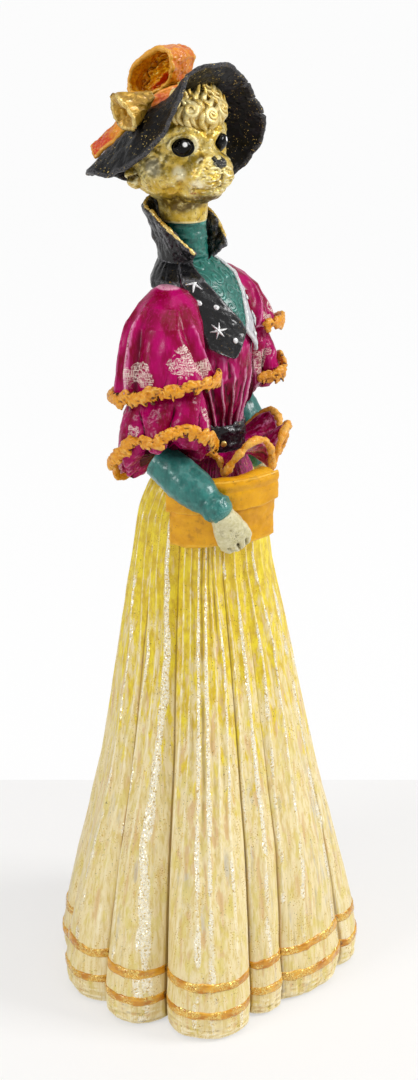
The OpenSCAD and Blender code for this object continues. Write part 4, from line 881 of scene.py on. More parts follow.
def build_band(name, node, low, seed):
    """Gilt band from low to BAND_H above it, whose edges wander like brushed paint."""
    turns = around(count(900))
    ring = turn_dir(turns) * 50
    wobble = fbm(ring, 8, 3, seed) * .35 + fbm(ring, 2.2, 2, seed + 1) * .18
    lower = low + wobble
    upper = low + BAND_H + fbm(ring, 8, 3, seed + 2) * .35 + fbm(ring, 2.2, 2, seed + 3) * .18
    steps = np.linspace(0, 1, 9)
    rows = [skirt_point(turns, lerp(lower, upper, s), .5 * (1 - abs(2 * s - 1) ** 3.0) ** .5 + .02)[0]
            for s in steps]
    rows += [skirt_point(turns, lerp(lower, upper, s), -.5)[0] for s in (1.0, 0.0)]
    g = np.array(rows)
    face = len(steps)
    g[:face] = rough_up(g[:face], 2.4, .12, True, False, seed + 9)
    make(node, Shape().grid(g, wrap_rows=True), "band", edge_rounds=5, edge_size=.2, name=name)


BAND_H, BAND_LOW_Z, BAND_HIGH_Z = 3.5, 9.0, 19.8
build_skirt()
build_band("band_lower_dressed", "hem_band_lower", BAND_LOW_Z, 31)
build_band("band_upper_dressed", "hem_band_upper", BAND_HIGH_Z, 41)


# ---------------------------------------------------------------- body
CHEST_W, CHEST_F, CHEST_B, NECK_BACK = 15.5, 17.5, 13.0, 10.8
# Up the body, from waist to neck: shares of the way from the waist's size to the chest's width, front and
# back, and how far the middle has moved to the back
BODY_W = [(0, 0), (.17, 0), (.28, .3), (.42, .75), (.58, 1), (.83, 1), (.92, .8), (.97, .1), (1, -.53)]
BODY_F = [(0, 0), (.17, 0), (.28, .35), (.42, .8), (.58, 1), (.7, .95), (.83, .65), (.92, .3), (1, -.38)]
BODY_B = [(0, 0), (.17, 0), (.28, .2), (.42, .6), (.58, 1), (.7, 1), (.83, .8), (.92, .3), (1, -1.08)]
BODY_Y = [(0, 0), (.17, 0), (.28, .05), (.42, .17), (.58, .3), (.7, .45), (.83, .62), (.92, .78), (1, 1)]


def body_sizes(z):
    """Half width, reach to the front, reach to the back and middle of the body at a height."""
    s = (np.asarray(z, float) - WAIST_Z) / BODICE_H
    return (WAIST_R + (CHEST_W - WAIST_R) * table(s, BODY_W),
            WAIST_R + (CHEST_F - WAIST_R) * table(s, BODY_F),
            WAIST_R + (CHEST_B - WAIST_R) * table(s, BODY_B), NECK_BACK * table(s, BODY_Y))


def body_point(turn, z, off=0.0):
    """Point of the body's surface, pushed out by off."""
    w, f, b, mid = body_sizes(z)
    a = np.radians(turn)
    c = np.cos(a)
    # Front and back halves meet in a smooth side
    k = smooth(c, -.25, .25)
    reach = b + (f - b) * k
    return xyz((w + off) * np.sin(a), mid - (reach + off) * c, z)


def build_bodice():
    """Bodice with gathers from the belt to the bust."""
    t, z = np.meshgrid(around(count(280)), np.linspace(WAIST_Z + .2, NECK_Z - .2, count(160)))
    # Gathers run from the belt up towards the bust, and fan out as they rise
    up = np.clip((z - WAIST_Z) / 34, 0, 1)
    fan = t / (.55 + .45 * up)
    front = smooth(np.cos(np.radians(t)), 0.0, .6)
    sharp = 1 - np.abs(np.sin(np.radians(fan * 8.0 + 18 * fbm(xyz(t / 10, z / 10, 0), 1.0, 2, 3))))
    gather = (sharp ** 1.5 - .4) * 1.5 * smooth(up, .1, .3) * smooth(up, 1.05, .55)
    gather = gather * (.35 + .65 * front)
    back = (np.cos(np.radians(fan * 10)) * .4) * smooth(up, .1, .3) * smooth(up, 1.0, .6) * (1 - front)
    wrinkles = fbm(xyz(t / 9, z / 6, 0), 1.0, 3, 5) * .35
    g = body_point(t, z, gather + back + wrinkles - .2)
    make("bodice", capped(g), "jacket", edge_rounds=5)


BELT_H, BELT_T = 10.0, 1.4
STUD_TURN, STUD_R = -35, 1.2


def build_belt():
    """Belt with a frayed top edge, and its stud."""
    n, m = count(220), count(34)
    turns = around(n)
    t, v = np.meshgrid(turns, np.linspace(0, 1, m))
    inner_r, foot = WAIST_R + PIN_GAP, WAIST_Z + SEAT
    # The top edge is frayed
    z = foot + BELT_H * v
    z = z + smooth(v, .75, 1.0) * (fbm(turn_dir(t) * 12, 1.6, 3, 3) * .7 - .3)
    skin = fbm(turn_dir(t) * 12 + z[..., None] * UP, (3, 3, 1.6), 3, 5) * .35
    g = turn_dir(t) * (inner_r + BELT_T * (.55 + .45 * (1 - np.abs(2 * v - 1) ** 4)) + skin)[..., None]
    g[..., 2] = z
    inner = turn_dir(turns) * inner_r
    lo, hi = inner.copy(), inner.copy()
    lo[:, 2], hi[:, 2] = foot, foot + BELT_H - .6
    make("belt", Shape().grid(np.concatenate([[lo], g, [hi]])), "black", edge_rounds=4)
    # Stud: a small worn dome
    out = plan(STUD_TURN)
    side = np.array([math.cos(math.radians(STUD_TURN)), math.sin(math.radians(STUD_TURN)), 0])
    c = out * (inner_r + BELT_T) + np.array([0, 0, foot + BELT_H / 3])
    ang = np.linspace(0, 2 * math.pi, 24, endpoint=False)
    rings = []
    for q in np.linspace(0, math.pi / 2, 8)[:-1]:
        r = STUD_R * math.cos(q)
        rings.append(c + out * (.15 + .65 * math.sin(q)) + np.outer(np.cos(ang), side) * r
                     + np.outer(np.sin(ang), UP) * r)
    g = rough_up(np.array(rings), .8, .08, True, False, 4)
    make("belt_stud", capped(g), "bronze", edge_rounds=3)


NECK_R, NECK_BAND_H = 7.4, 14.0


def build_neck():
    """Blouse collar round the neck."""
    turns = around(count(200))
    foot = body_point(turns, np.full(len(turns), NECK_Z))
    top = turn_dir(turns) * NECK_R + np.array([0, NECK_BACK, NECK_Z])
    g = np.array([lerp(foot, top, min(1, s * 1.4)) + UP * (PIN_GAP + (NECK_BAND_H - PIN_GAP) * s)
                  for s in np.linspace(0, 1, count(50))])
    ring = fbm(xyz(g[..., 0] * .3, g[..., 1] * .3, g[..., 2]), 2.0, 3, 2)
    g = g + grid_normals(g) * (ring * .4 - .15)[..., None]
    make("blouse_neck", capped(g), "blouse", edge_rounds=4)


# ---------------------------------------------------------------- lapels and blouse panel
V_Z = WAIST_Z + BODICE_H * .66
LAPEL_FOOT_Z = WAIST_Z + BODICE_H * .54
# Up the lapel: turn of its outer edge
LAPEL_OUTER = [(0, 26), (.12, 50), (.6, 58), (1, 66)]
LAPEL_T = 1.5
LIFT = .25
PANEL_T, SCROLL_PITCH = .8, 5.2


def lapel_inner(z):
    """Turn of the lapels' inner edge, which opens above V_Z."""
    return 1.5 + np.where(z > V_Z, 44 * (z - V_Z) / (NECK_Z - V_Z), (V_Z - z) / (V_Z - LAPEL_FOOT_Z) * 22)


def lapel_outer(z):
    """Turn of the lapels' outer edge."""
    return table((z - LAPEL_FOOT_Z) / (NECK_Z - LAPEL_FOOT_Z), LAPEL_OUTER)


def build_lapel(side_name, side, key, seed):
    m, n = count(120), count(70)
    j = np.linspace(0, 1, n)
    g = []
    for z in np.linspace(LAPEL_FOOT_Z + .3, NECK_Z - .6, m):
        t = lerp(lapel_inner(z), lapel_outer(z), j)
        g.append(body_point(-t[::-1] if side < 0 else t, np.full(n, z)))
    g = np.array(g)
    nrm = grid_normals(g, False)
    if side < 0:
        j = j[::-1]
    # The satin rolls a little: proud along the inner edge, with soft creases slanting down
    roll = .45 * np.exp(-(j / .16) ** 2)[None] + .25 * np.exp(-((1 - j) / .1) ** 2)[None]
    slant = xyz(g[..., 0] * .5 + g[..., 2] * .5, g[..., 1] * .3, g[..., 2] * .15)
    crease = fbm(slant, 2.6, 3, seed) * .5
    mid = g + nrm * (LIFT + LAPEL_T / 2 + roll + crease * .7)[..., None]
    s = add_slab(Shape(), mid, LAPEL_T * .95, rough=.08, size=1.5, seed=seed, normals=nrm)
    make("lapel_" + side_name, s, key, edge_rounds=5)


def build_panel():
    """Blouse front with embossed scrolls."""
    m, n = count(130), count(130)
    z0, z1 = V_Z + LAPEL_T, NECK_Z - SEAT
    g = []
    for z in np.linspace(z0, z1, m):
        e = lapel_inner(z) + 1.5
        g.append(body_point(np.linspace(-e, e, n), np.full(n, z)))
    g = np.array(g)
    nrm = grid_normals(g, False)
    # Embossed scrolls: rows of spirals, light against the ground
    x, z = g[..., 0], g[..., 2]
    scroll = np.zeros_like(x)
    for row in range(5):
        cz = z0 + 2.5 + row * SCROLL_PITCH * .86
        for col in range(-3, 4):
            cx = (col + (.5 if row % 2 else 0)) * SCROLL_PITCH
            dx, dz = (x - cx) / (SCROLL_PITCH * .5), (z - cz) / (SCROLL_PITCH * .5)
            rad = np.hypot(dx, dz)
            wave = np.cos(np.arctan2(dz, dx) * (1 if col % 2 else -1) - rad * 7.5)
            scroll = np.maximum(scroll, smooth(wave, .1, .8) * smooth(rad, 1.0, .8))
    mid = g + nrm * (SEAT + PANEL_T / 2 + scroll * .32 + fbm(g, 6, 2, 3) * .25)[..., None]
    make("blouse_panel", add_slab(Shape(), mid, PANEL_T, normals=nrm), "blouse", edge_rounds=4, edge_size=.2)


# ---------------------------------------------------------------- collar
OPEN_TURN = 43.0
# From the collar's open ends to its back: share of its full height
COLLAR_RISE = [(0, 0), (.25, .5), (.47, .85), (1, 1)]
COLLAR_LOW = NECK_Z + NECK_BAND_H * .3
COLLAR_Z0 = NECK_Z + SEAT
COLLAR_H = 19.5
COLLAR_FOOT_R, COLLAR_RIM_R = 8.2, 13.2
YOKE_Z = WAIST_Z + BODICE_H * .885
YOKE_TURN = 69.0


def collar_point(turn, s, off):
    """Point of the standing collar: s runs from its foot to its rim."""
    rise = table(1 - np.abs(180 - turn) / (180 - OPEN_TURN), COLLAR_RISE)
    z = lerp(COLLAR_Z0, COLLAR_LOW + (COLLAR_H - (COLLAR_LOW - COLLAR_Z0)) * rise, s)
    r = lerp(COLLAR_FOOT_R, COLLAR_RIM_R, s ** 1.8) + off
    p = turn_dir(turn) * r[..., None]
    p[..., 1] += NECK_BACK
    p[..., 2] = z
    return p


def build_collar():
    """Standing collar with its yoke, and the piping on its rim."""
    m, n = count(90), count(300)
    turns = np.linspace(OPEN_TURN, 360 - OPEN_TURN, n)
    t, s = np.meshgrid(turns, np.linspace(0, 1, m))
    mid = collar_point(t, s, LAPEL_T / 2)
    folds = fbm(xyz(t / 16, s * 2.2, 0), 1.0, 3, 4) * .9
    mid = mid + grid_normals(mid, False) * (folds * smooth(s, .05, .5))[..., None]
    shape = Shape()
    add_slab(shape, mid, LAPEL_T, rough=.1, size=1.6, seed=5)
    t, z = np.meshgrid(np.linspace(YOKE_TURN, 360 - YOKE_TURN, n),
                       np.linspace(YOKE_Z, NECK_Z + 2 * SEAT, count(40)))
    yoke = body_point(t, z, SEAT + LAPEL_T / 2 + fbm(xyz(t / 12, z / 6, 0), 1.0, 2, 6) * .3)
    add_slab(shape, yoke, LAPEL_T, rough=.08, size=1.5, seed=7)
    make("collar", shape, "black", edge_rounds=5)
    rim = resample(collar_point(turns, np.ones(n), LAPEL_T / 2) + UP * .55, .35 / DETAIL)
    bead = .62 + .22 * fbm(rim, 1.5, 2, 12) + .1 * fbm(rim, .6, 1, 13)
    piping = add_tube(Shape(), rim, bead, count(14), .18, .8, 14)
    make("collar_piping", piping, "bronze", edge_rounds=3, edge_size=.15)


# ---------------------------------------------------------------- silver ornaments
# Big and small ornaments: place up the lapel, place across it, size
STARS = [(.84, .42, 1.0), (.33, .68, 1.0), (.58, .3, .32), (.64, .75, .35), (.2, .3, .35)]
STAR_R, STAR_ARMS = 2.8, 6


def build_stars():
    """Stars and studs on both lapels."""
    shape = Shape()
    rng = np.random.default_rng(11)

    def place(u, v, off):
        return body_point(turn + np.degrees(u / reach), z + v, LIFT + LAPEL_T + .25 + off)
    for side in (-1, 1):
        for k, (h, across, size) in enumerate(STARS):
            z = lerp(LAPEL_FOOT_Z, NECK_Z, h)
            turn = side * lerp(lapel_inner(np.array(z)), lapel_outer(z), across)
            reach = body_sizes(z)[1]
            spin = rng.uniform(0, 60)
            if size < .5:
                # Stud: a low dome
                a = np.linspace(0, 2 * math.pi, 20, endpoint=False)
                g = np.array([place(STAR_R * size * math.cos(x) * np.cos(a),
                                    STAR_R * size * math.cos(x) * np.sin(a),
                                    .45 * math.sin(x)) for x in np.linspace(0, math.pi / 2, 6)[:-1]])
                shape.grid(rough_up(g, .6, .08, True, False, k), cap0=True, cap1=True)
                continue
            for arm in range(STAR_ARMS):
                b = math.radians(spin + arm * 360 / STAR_ARMS)
                length = STAR_R * rng.uniform(.85, 1.1)
                s = np.linspace(0, 1, 12)
                path = place(length * s * math.cos(b), length * s * math.sin(b), .12)
                add_tube(shape, path, .5 * (1 - s) ** .8 + .1, 10, .15, .7, k * 7 + arm)
    make("silver_ornaments", shape, "silver", edge_rounds=2, edge_size=.1)


build_bodice()
build_belt()
build_neck()
build_lapel("right", -1, "black", 61)
build_lapel("left", 1, "grey", 63)
build_panel()
build_collar()
build_stars()


# ---------------------------------------------------------------- peplum
# Round the peplum: how far it reaches out and how far its edge is raised
FLARE = [(-180, .86), (-150, .78), (-120, .62), (-55, .62), (-42, .8), (-28, 1), (50, 1), (70, .98),
         (88, .66), (120, .62), (140, .74), (180, .86)]
RAISE = [(-180, .5), (-140, .3), (-110, 0), (-55, 0), (-40, .12), (-20, .3), (45, .3), (70, .24), (90, 0),
         (110, 0), (140, .3), (180, .5)]
PEPLUM_R, PEPLUM_T, PEPLUM_WAVE, PEPLUM_LIFT, WAVES, PHASE = 25.0, 1.6, 6.0, 7.0, 8, 20
BRAID_W = 2.6
FOOT_Z = WAIST_Z + 2 * SEAT


def peplum_point(turn, s, off):
    """Point of the peplum: s runs from the belt to its waved edge."""
    wave = np.cos(np.radians(WAVES * (turn + PHASE)))
    flare, lift = table(turn, FLARE), table(turn, RAISE)
    wave_h = PEPLUM_WAVE * np.maximum(.3, (flare - .4) / .6)
    r = lerp(WAIST_R + BELT_T + SEAT, PEPLUM_R * flare + wave, s)
    z = FOOT_Z - PEPLUM_T + s * (PEPLUM_LIFT * lift + wave_h * wave * (.3 + .7 * s))
    p = turn_dir(turn + 6 * s * np.sin(np.radians(WAVES * (turn + PHASE)))) * r[..., None]
    p[..., 2] = z + off
    return p


# Height and width of the rings of one tuft
CRUMB_PROFILE = ((-.4, .6), (0.0, 1.0), (.5, .75), (1.0, .3))


def crumbs(shape, path, radius, number, size, seed):
    """Small lumps and tufts that roughen a cord of braid."""
    rng = np.random.default_rng(seed)
    tangent = unit(np.gradient(path, axis=0))
    a = np.linspace(0, 2 * math.pi, 7, endpoint=False)
    for _ in range(int(number * DETAIL)):
        k = rng.integers(0, len(path))
        t = tangent[k]
        side = unit(np.cross(t, UP))
        b = rng.uniform(0, 2 * math.pi)
        out = side * math.cos(b) + np.cross(side, t) * math.sin(b)
        lean = unit(out + t * rng.uniform(-.9, .9) + rng.normal(0, .3, 3))
        r = size * rng.uniform(.5, 1.2)
        length = size * rng.uniform(.8, 2.2)
        c = path[k] + out * radius * rng.uniform(.55, .9)
        u = unit(np.cross(lean, rng.normal(0, 1, 3)))
        v = np.cross(lean, u)
        rings = [c + lean * length * h + (np.outer(np.cos(a), u) + np.outer(np.sin(a), v)) * r * w
                 for h, w in CRUMB_PROFILE]
        shape.grid(np.array(rings), cap0=True, cap1=True)


def build_peplum():
    """Waved peplum and the braid on its edge."""
    n, m = count(520), count(60)
    t, s = np.meshgrid(around(n), np.linspace(0, 1, m))
    mid = peplum_point(t, s, PEPLUM_T / 2)
    q = xyz(np.cos(np.radians(t)) * 6, np.sin(np.radians(t)) * 6, s * 1.5)
    mid = mid + grid_normals(mid) * (fbm(q, 1.0, 3, 3) * .55 * smooth(s, 0.0, .4))[..., None]
    make("peplum", add_slab(Shape(), mid, PEPLUM_T, True, .1, 1.6, 5), "jacket", edge_rounds=5)
    turns = around(count(900))
    one = np.ones(len(turns))
    e = peplum_point(turns, one, PEPLUM_T / 2)
    out = unit(e - peplum_point(turns, one * .75, PEPLUM_T / 2))
    path = e + out * (BRAID_W * .45)
    path = path + fbm(path, 3.0, 2, 6)[:, None] * out * .35
    radius = 1.25 + .3 * fbm(path, 2.2, 3, 7)
    braid = add_tube(Shape(), path, radius, count(18), .22, .9, 8, closed=True)
    crumbs(braid, path, 1.2, 420, .34, 9)
    make("peplum_braid", braid, "braid", edge_rounds=3, edge_size=.15)


# ---------------------------------------------------------------- sleeves, made for the right side
SLEEVE_X, SHOULDER_Z, PUFF_LEN, PUFF_W, PUFF_D = 26.0, BODICE_H - 5.0, 33.0, 13.5, 17.0
ARMS = {"right": (PUFF_LEN, 0.0, 1), "left": (PUFF_LEN - 8.0, 8.5, -1)}
# Down the puff: width, depth, place to the side and place to the back
PUFF_SHARE = [(0, .2, .18, .76, .24), (.05, .45, .38, .74, .22), (.16, .7, .6, .8, .19),
              (.34, .88, .76, .9, .16),
              (.55, .96, .84, .96, .13), (.78, 1, .93, 1, .1), (1, 1.04, 1.04, 1, .08)]
PUFF_TILT = .25
FLOUNCE_LEN, FLOUNCE_W, FLOUNCE_D = 23.0, 13.5, 17.5
MOUTH_SLOPE = (-.45, -.5)
FLOOR_PLACE, FLOOR_SHARE, FRILL_T = 1.12, .78, 1.2
FRAY_D = 3.2
CLEAR_R = PEPLUM_R * .62 + BRAID_W + 9 * SEAT


def sleeve_wall(y, z, off):
    """X of the body's right side, pushed out by off, at a place across and up it."""
    w, f, b, mid = body_sizes(z)
    reach = np.where(y < mid, f, b) + off
    e = np.clip((y - mid) / reach, -1, 1)
    return -(w + off) * np.sqrt(1 - e * e)


def puff_point(t, q, arm, off=0.0, inside=-1.2):
    """Point of the puff: q runs from the shoulder to its end."""
    length, back, _ = arm
    wide, deep, aside, behind = (table(q, PUFF_SHARE, column) for column in (1, 2, 3, 4))
    d = turn_dir(t)
    x = -SLEEVE_X * aside + d[..., 0] * (PUFF_W * wide + off)
    y0 = d[..., 1] * (PUFF_D * deep + off)
    z = WAIST_Z + SHOULDER_Z - length * q - PUFF_TILT * q * q * y0
    y = PUFF_D * behind + back + y0
    return xyz(np.minimum(x, sleeve_wall(y, z, inside)), y, z)


def puff_end(arm):
    """Middle of the puff's end."""
    return np.array([-SLEEVE_X, PUFF_D * .08 + arm[1], WAIST_Z + SHOULDER_Z - arm[0]])


def mouth_mid(arm):
    """Middle of the frill's mouth."""
    return np.array([-SLEEVE_X - FLOUNCE_W * .1, WAIST_R * .25 * .4 + arm[1], puff_end(arm)[2] - FLOUNCE_LEN])


def flounce_point(t, s, share, arm, off=0.0, inside=-1.2):
    """Point of the frill: s runs from its root to its mouth, share sets its width."""
    a, b = puff_end(arm), mouth_mid(arm)
    mid = a + (b - a) * s[..., None]
    ripple = np.cos(np.radians(6 * t + 40))
    wide = share * (1 + .07 * s * ripple)
    d = turn_dir(t)
    x = d[..., 0] * (FLOUNCE_W * wide + off)
    y = d[..., 1] * (FLOUNCE_D * wide + off)
    slope_x, slope_y = MOUTH_SLOPE[0] * s, lerp(-PUFF_TILT, MOUTH_SLOPE[1], s)
    z = slope_x * x + slope_y * y - s * FLOUNCE_W * .12 * ripple
    p = mid + xyz(x, y, z)
    x = np.minimum(p[..., 0], sleeve_wall(p[..., 1], p[..., 2], inside))
    # The frill keeps clear of the peplum's edge
    clear = -np.sqrt(np.maximum(CLEAR_R * CLEAR_R - p[..., 1] ** 2, 0))
    p[..., 0] = np.where(np.abs(p[..., 1]) < CLEAR_R, np.minimum(x, clear), x)
    return p


def mirrored(g, side):
    """Grid of the figure's right side, mirrored where side is below zero."""
    if side > 0:
        return g
    g = g[:, ::-1].copy()
    g[..., 0] *= -1
    return g


def longest_run(mask):
    """Indices of the longest run of true values on a ring."""
    n = len(mask)
    start = int(np.argmin(mask))
    best, run = [], []
    for k in range(start, start + n):
        if mask[k % n]:
            run.append(k % n)
            best = run if len(run) > len(best) else best
        else:
            run = []
    return best


def braid_on(node, ring, side, seed):
    """Flat, crumbling braid along the clear part of a ring: smooth at the back and ragged in front."""
    clear = ring[:, 0] < sleeve_wall(ring[:, 1], ring[:, 2], 0.0) - 1.6
    clear = clear & (np.hypot(ring[:, 0], ring[:, 1]) > CLEAR_R + .8)
    path = smoothed(resample(ring[longest_run(clear)], .22 / DETAIL), 8)
    if side < 0:
        path = path * np.array([-1, 1, 1])
    m, n = len(path), count(44)
    s = np.linspace(0, 1, m)
    ragged = .35 + .65 * smooth(s, .2, .55)
    path = path + xyz(0, 0, fbm(path, 5.0, 3, seed) * ragged)
    w = unit(np.gradient(path, axis=0))
    o = unit(np.cross(w, UP))
    v = np.cross(o, w)
    if (o * (path - path.mean(0))).sum() < 0:
        o = -o
    a = np.arange(n) / n * 2 * np.pi
    taper = np.sqrt(np.clip(np.minimum(s, 1 - s) * m * .22 / 1.6, 0, 1)) * .96 + .04
    tall = (1.95 + .55 * ragged * fbm(path, 2.0, 3, seed + 1) * 1.6) * taper
    x = np.cos(a)[None] * (1.15 * taper)[:, None]
    y = np.sin(a)[None] * tall[:, None]
    # Tufts hang off the lower edge
    tufts = np.maximum(fbm(path, 1.5, 3, seed + 6) + .15, 0) * 1.7 * ragged * taper
    y = y - np.maximum(-np.sin(a), 0)[None] ** .5 * tufts[:, None]
    g = facing_out(path[:, None] + o[:, None] * x[..., None] + v[:, None] * y[..., None], path[:, None])
    crease = np.abs(fbm(g, (2.8, 2.8, 1.7), 3, seed + 2))
    lumps = (.35 - crease * 1.5) * .3 * ragged[:, None] + fbm(g, .7, 2, seed + 3) * .12
    g = g + grid_normals(g) * (lumps * taper[:, None])[..., None]
    shape = capped(g)
    crumbs(shape, path, FRAY_D / 2 * .95, 45, .34, seed + 4)
    make(node, shape, "braid", edge_rounds=4, edge_size=.22)


# Folds of a puff: turn at its top and foot, half width in degrees, height in mm
PUFF_FOLDS = [(-103, -104, 5, -3.0), (-92, -93, 8, 1.0), (-122, -124, 9, .9), (-140, -138, 6, -1.3),
              (-42, 12, 8, 1.3), (-28, 30, 6, -1.2), (-62, -58, 9, .4), (25, 48, 8, 1.0), (150, 152, 8, -1.6),
              (165, 166, 9, 1.2), (125, 128, 8, 1.2), (110, 112, 6, -1.2), (75, 80, 8, .8)]
# Worn, hatched places that catch hands: turn, its half width, place down the puff, its half height
WORN_PLACES = [(-88, 18, .8, .16), (-30, 22, .72, .2), (2, 20, .82, .13), (120, 20, .8, .16),
               (170, 18, .76, .14)]
SLEEVE_COLUMNS = count(420)
RING_TURNS = np.linspace(-90, 270, 720, endpoint=False)
RING_ONE = np.ones_like(RING_TURNS)
BRAID_OFF, BRAID_INSIDE = FRAY_D * .52 + SEAT, 4.0
# The frill down its outside and back up its lining: place, share of the width
FRILL_OUTER = [(0, .72), (.3, .84), (.65, .93), (1, 1)]
FRILL_LINING = [(0, 1, .985), (.12, .965, .9), (.3, 1, .9), (.6, FLOOR_PLACE - .02, FLOOR_SHARE + .05),
                (.72, FLOOR_PLACE, FLOOR_SHARE), (1, 1, .5)]


def build_puff(side_name):
    arm = ARMS[side_name]
    side = arm[2]
    t, q = np.meshgrid(around(SLEEVE_COLUMNS), np.linspace(0, 1, count(180)))
    g = puff_point(t, q, arm)
    # Folds hang from the shoulder and gather into the braid
    warp = fbm(xyz(t / 60, q * 1.6, 0), 1.0, 2, 5 + side)
    gathers = 1 - np.abs(np.sin(np.radians(t * 7.0 + 160 * warp + 30)))
    height = (gathers ** 1.6 - .35) * .45 * smooth(q, .6, .98)
    for t0, t1, width, rise in PUFF_FOLDS:
        gap = (t - lerp(t0, t1, q) - 5 * warp + 180) % 360 - 180
        height = height + rise * np.exp(-(gap / width) ** 2) * smooth(q, .04, .5)
    height = height + fbm(g, 8, 2, 9) * .35
    body_side = g[..., 0] > sleeve_wall(g[..., 1], g[..., 2], 0.0) - .4
    g = g + grid_normals(g) * (np.where(body_side, 0, height))[..., None]
    worn = sum(smooth(np.hypot((t - t0) / dt, (q - q0) / dq) + .35 * fbm(g, 3.0, 3, 15), 1.0, .6)
               for t0, dt, q0, dq in WORN_PLACES)
    g = mirrored(g[::-1], side)
    worn = worn[::-1] if side > 0 else worn[::-1, ::-1]
    shape = capped(g, worn=worn)
    make("sleeve_" + side_name, shape, "jacket", edge_rounds=6, edge_size=.3)
    ring = puff_point(RING_TURNS, RING_ONE, arm, BRAID_OFF, BRAID_INSIDE)
    braid_on("sleeve_braid_" + side_name, ring, side, 21 + 10 * side)


def build_flounce(side_name):
    arm = ARMS[side_name]
    side = arm[2]
    down = np.linspace(0, 1, count(110))
    # Under the braid the end of an inner sleeve shows, and its mouth turns in round the arm
    lip = np.linspace(0, 1, count(90))[1:]
    share = np.concatenate([table(down, FRILL_OUTER), table(lip, FRILL_LINING, 2)])
    t, s = np.meshgrid(around(SLEEVE_COLUMNS), np.concatenate([down, table(lip, FRILL_LINING)]))
    g = flounce_point(t, s, share[:, None] + 0 * t, arm)
    outer = (np.arange(len(share)) < len(down))[:, None]
    warp = fbm(xyz(t / 50, s * 1.2, 0), 1.0, 2, 31 + side)
    flute = 1 - np.abs(np.sin(np.radians(t * 4.0 + 70 * warp)))
    height = (flute ** 1.3 - .42) * 2.3 * smooth(s, .05, .6) * np.where(outer, 1, .5)
    streaks = fbm(xyz(t / 9, s * 3, 0), 1.0, 3, 35) * .4 * ~outer
    height = height + fbm(g, 3.2, 3, 33) * .3 + streaks
    limit = np.minimum(sleeve_wall(g[..., 1], g[..., 2], 0.0), 0) - .4
    flat = (g[..., 0] > limit) | (np.hypot(g[..., 0], g[..., 1]) < CLEAR_R + .3)
    g = g + grid_normals(g) * np.where(flat, 0, height)[..., None]
    worn = .6 * smooth(fbm(g, (5, 5, 12), 2, 37), .36, .5) * outer * smooth(s, .3, .5)
    g = mirrored(g, side)[::-1]
    worn = (worn if side > 0 else worn[:, ::-1])[::-1]
    shape = capped(g, worn=worn)
    make("flounce_" + side_name, shape, "jacket", edge_rounds=6, edge_size=.3)
    ring = flounce_point(RING_TURNS, RING_ONE, RING_ONE, arm, BRAID_OFF, BRAID_INSIDE)
    braid_on("flounce_braid_" + side_name, ring, side, 51 + 10 * side)


# ---------------------------------------------------------------- arms, paws and bag
WRIST_R, FOREARM_R, PAW_LEN, PAW_HALF_W = 4.6, 7.4, 17.0, 6.0
PAW_T = WRIST_R * 1.5
BAG_H, BAG_R, BAG_T, FLAP_T, BAG_DROP = 24.0, 30.0, 7.0, 1.2, 29.0
BAG_Z = WAIST_Z - BAG_DROP
BAG_MID = np.array([0, -PAW_T / 7, 0])
WRIST_TURN, TIP_TURN = -51.0, -39.0
BAG_TURNS = (-88.0, -9.0)


WRIST_OUT, TIP_OUT = BAG_R + FLAP_T + 2 * SEAT + WRIST_R, BAG_R + SEAT + PAW_T / 2
RIGHT_WRIST = BAG_MID + plan(WRIST_TURN) * WRIST_OUT + np.array([0, 0, BAG_Z + BAG_H * .68])
RIGHT_TIP = BAG_MID + plan(TIP_TURN) * TIP_OUT + np.array([0, 0, BAG_Z + BAG_H * .05])
LEFT_WRIST = np.array([-(HEM_R * .46 + WRIST_R), 8.5 - WRIST_R * 1.8, BAG_Z + BAG_H * .6])
LEFT_TIP = LEFT_WRIST + np.array([WRIST_R * .2, -WRIST_R * .5, -PAW_LEN * .95])
# Down the forearm: share of the way from the wrist's radius to the greatest
FOREARM = [(.15, 1), (.35, .9), (.6, .55), (.85, .12), (1, 0)]


def arm_root(arm):
    """Where the forearm starts, at the floor of the frill."""
    return lerp(puff_end(arm), mouth_mid(arm), FLOOR_PLACE) - np.array([FRILL_T, 0, 0])


def build_forearm(side_name, wrist):
    arm = ARMS[side_name]
    root = arm_root(arm)
    d = unit(wrist - root)
    u = np.linspace(-.02, 1, count(150))
    path = root + (wrist - root) * u[:, None]
    k = np.clip((u - .3) / .7, 0, 1)
    r = lerp(WRIST_R, FOREARM_R, table(k, FOREARM)) - .15
    r = r * np.interp(u, [0, .3], [.9, 1])
    # Swollen cuff, then the rounded end over the hand
    r = r + .75 * np.exp(-((u - .93) / .06) ** 2) - .35 * np.exp(-((u - .8) / .05) ** 2)
    a = np.linspace(0, math.pi / 2, 8)[1:]
    path = np.concatenate([path, wrist + d * 2.6 * np.sin(a)[:, None]])
    r = np.concatenate([r, r[-1] * np.cos(a) * .94 + .1])
    g = tube(path, r, count(110), (0, 0, 1) if abs(d[2]) < .8 else (0, 1, 0))
    centre = path[:, None]
    near_cuff = smooth(np.concatenate([u, np.ones(len(a))])[:, None], .78, .95)
    lump = fbm(g, 5.0, 3, 71) * .05 + fbm(g, 2.2, 3, 73) * .075 * near_cuff
    g = centre + (g - centre) * (1 + lump)[..., None]
    shape = capped(mirrored(g, arm[2]))
    make("forearm_" + side_name, shape, "teal", edge_rounds=6)


# Along the paw: half width and half thickness
PAW_FORM = [(0, .68, .98), (.12, .78, 1.05), (.35, .95, 1.0), (.6, 1.02, .92), (.8, .98, .72),
            (.92, .82, .5), (1, .12, .1)]
TOE_GAPS = (-.5, 0.0, .5)


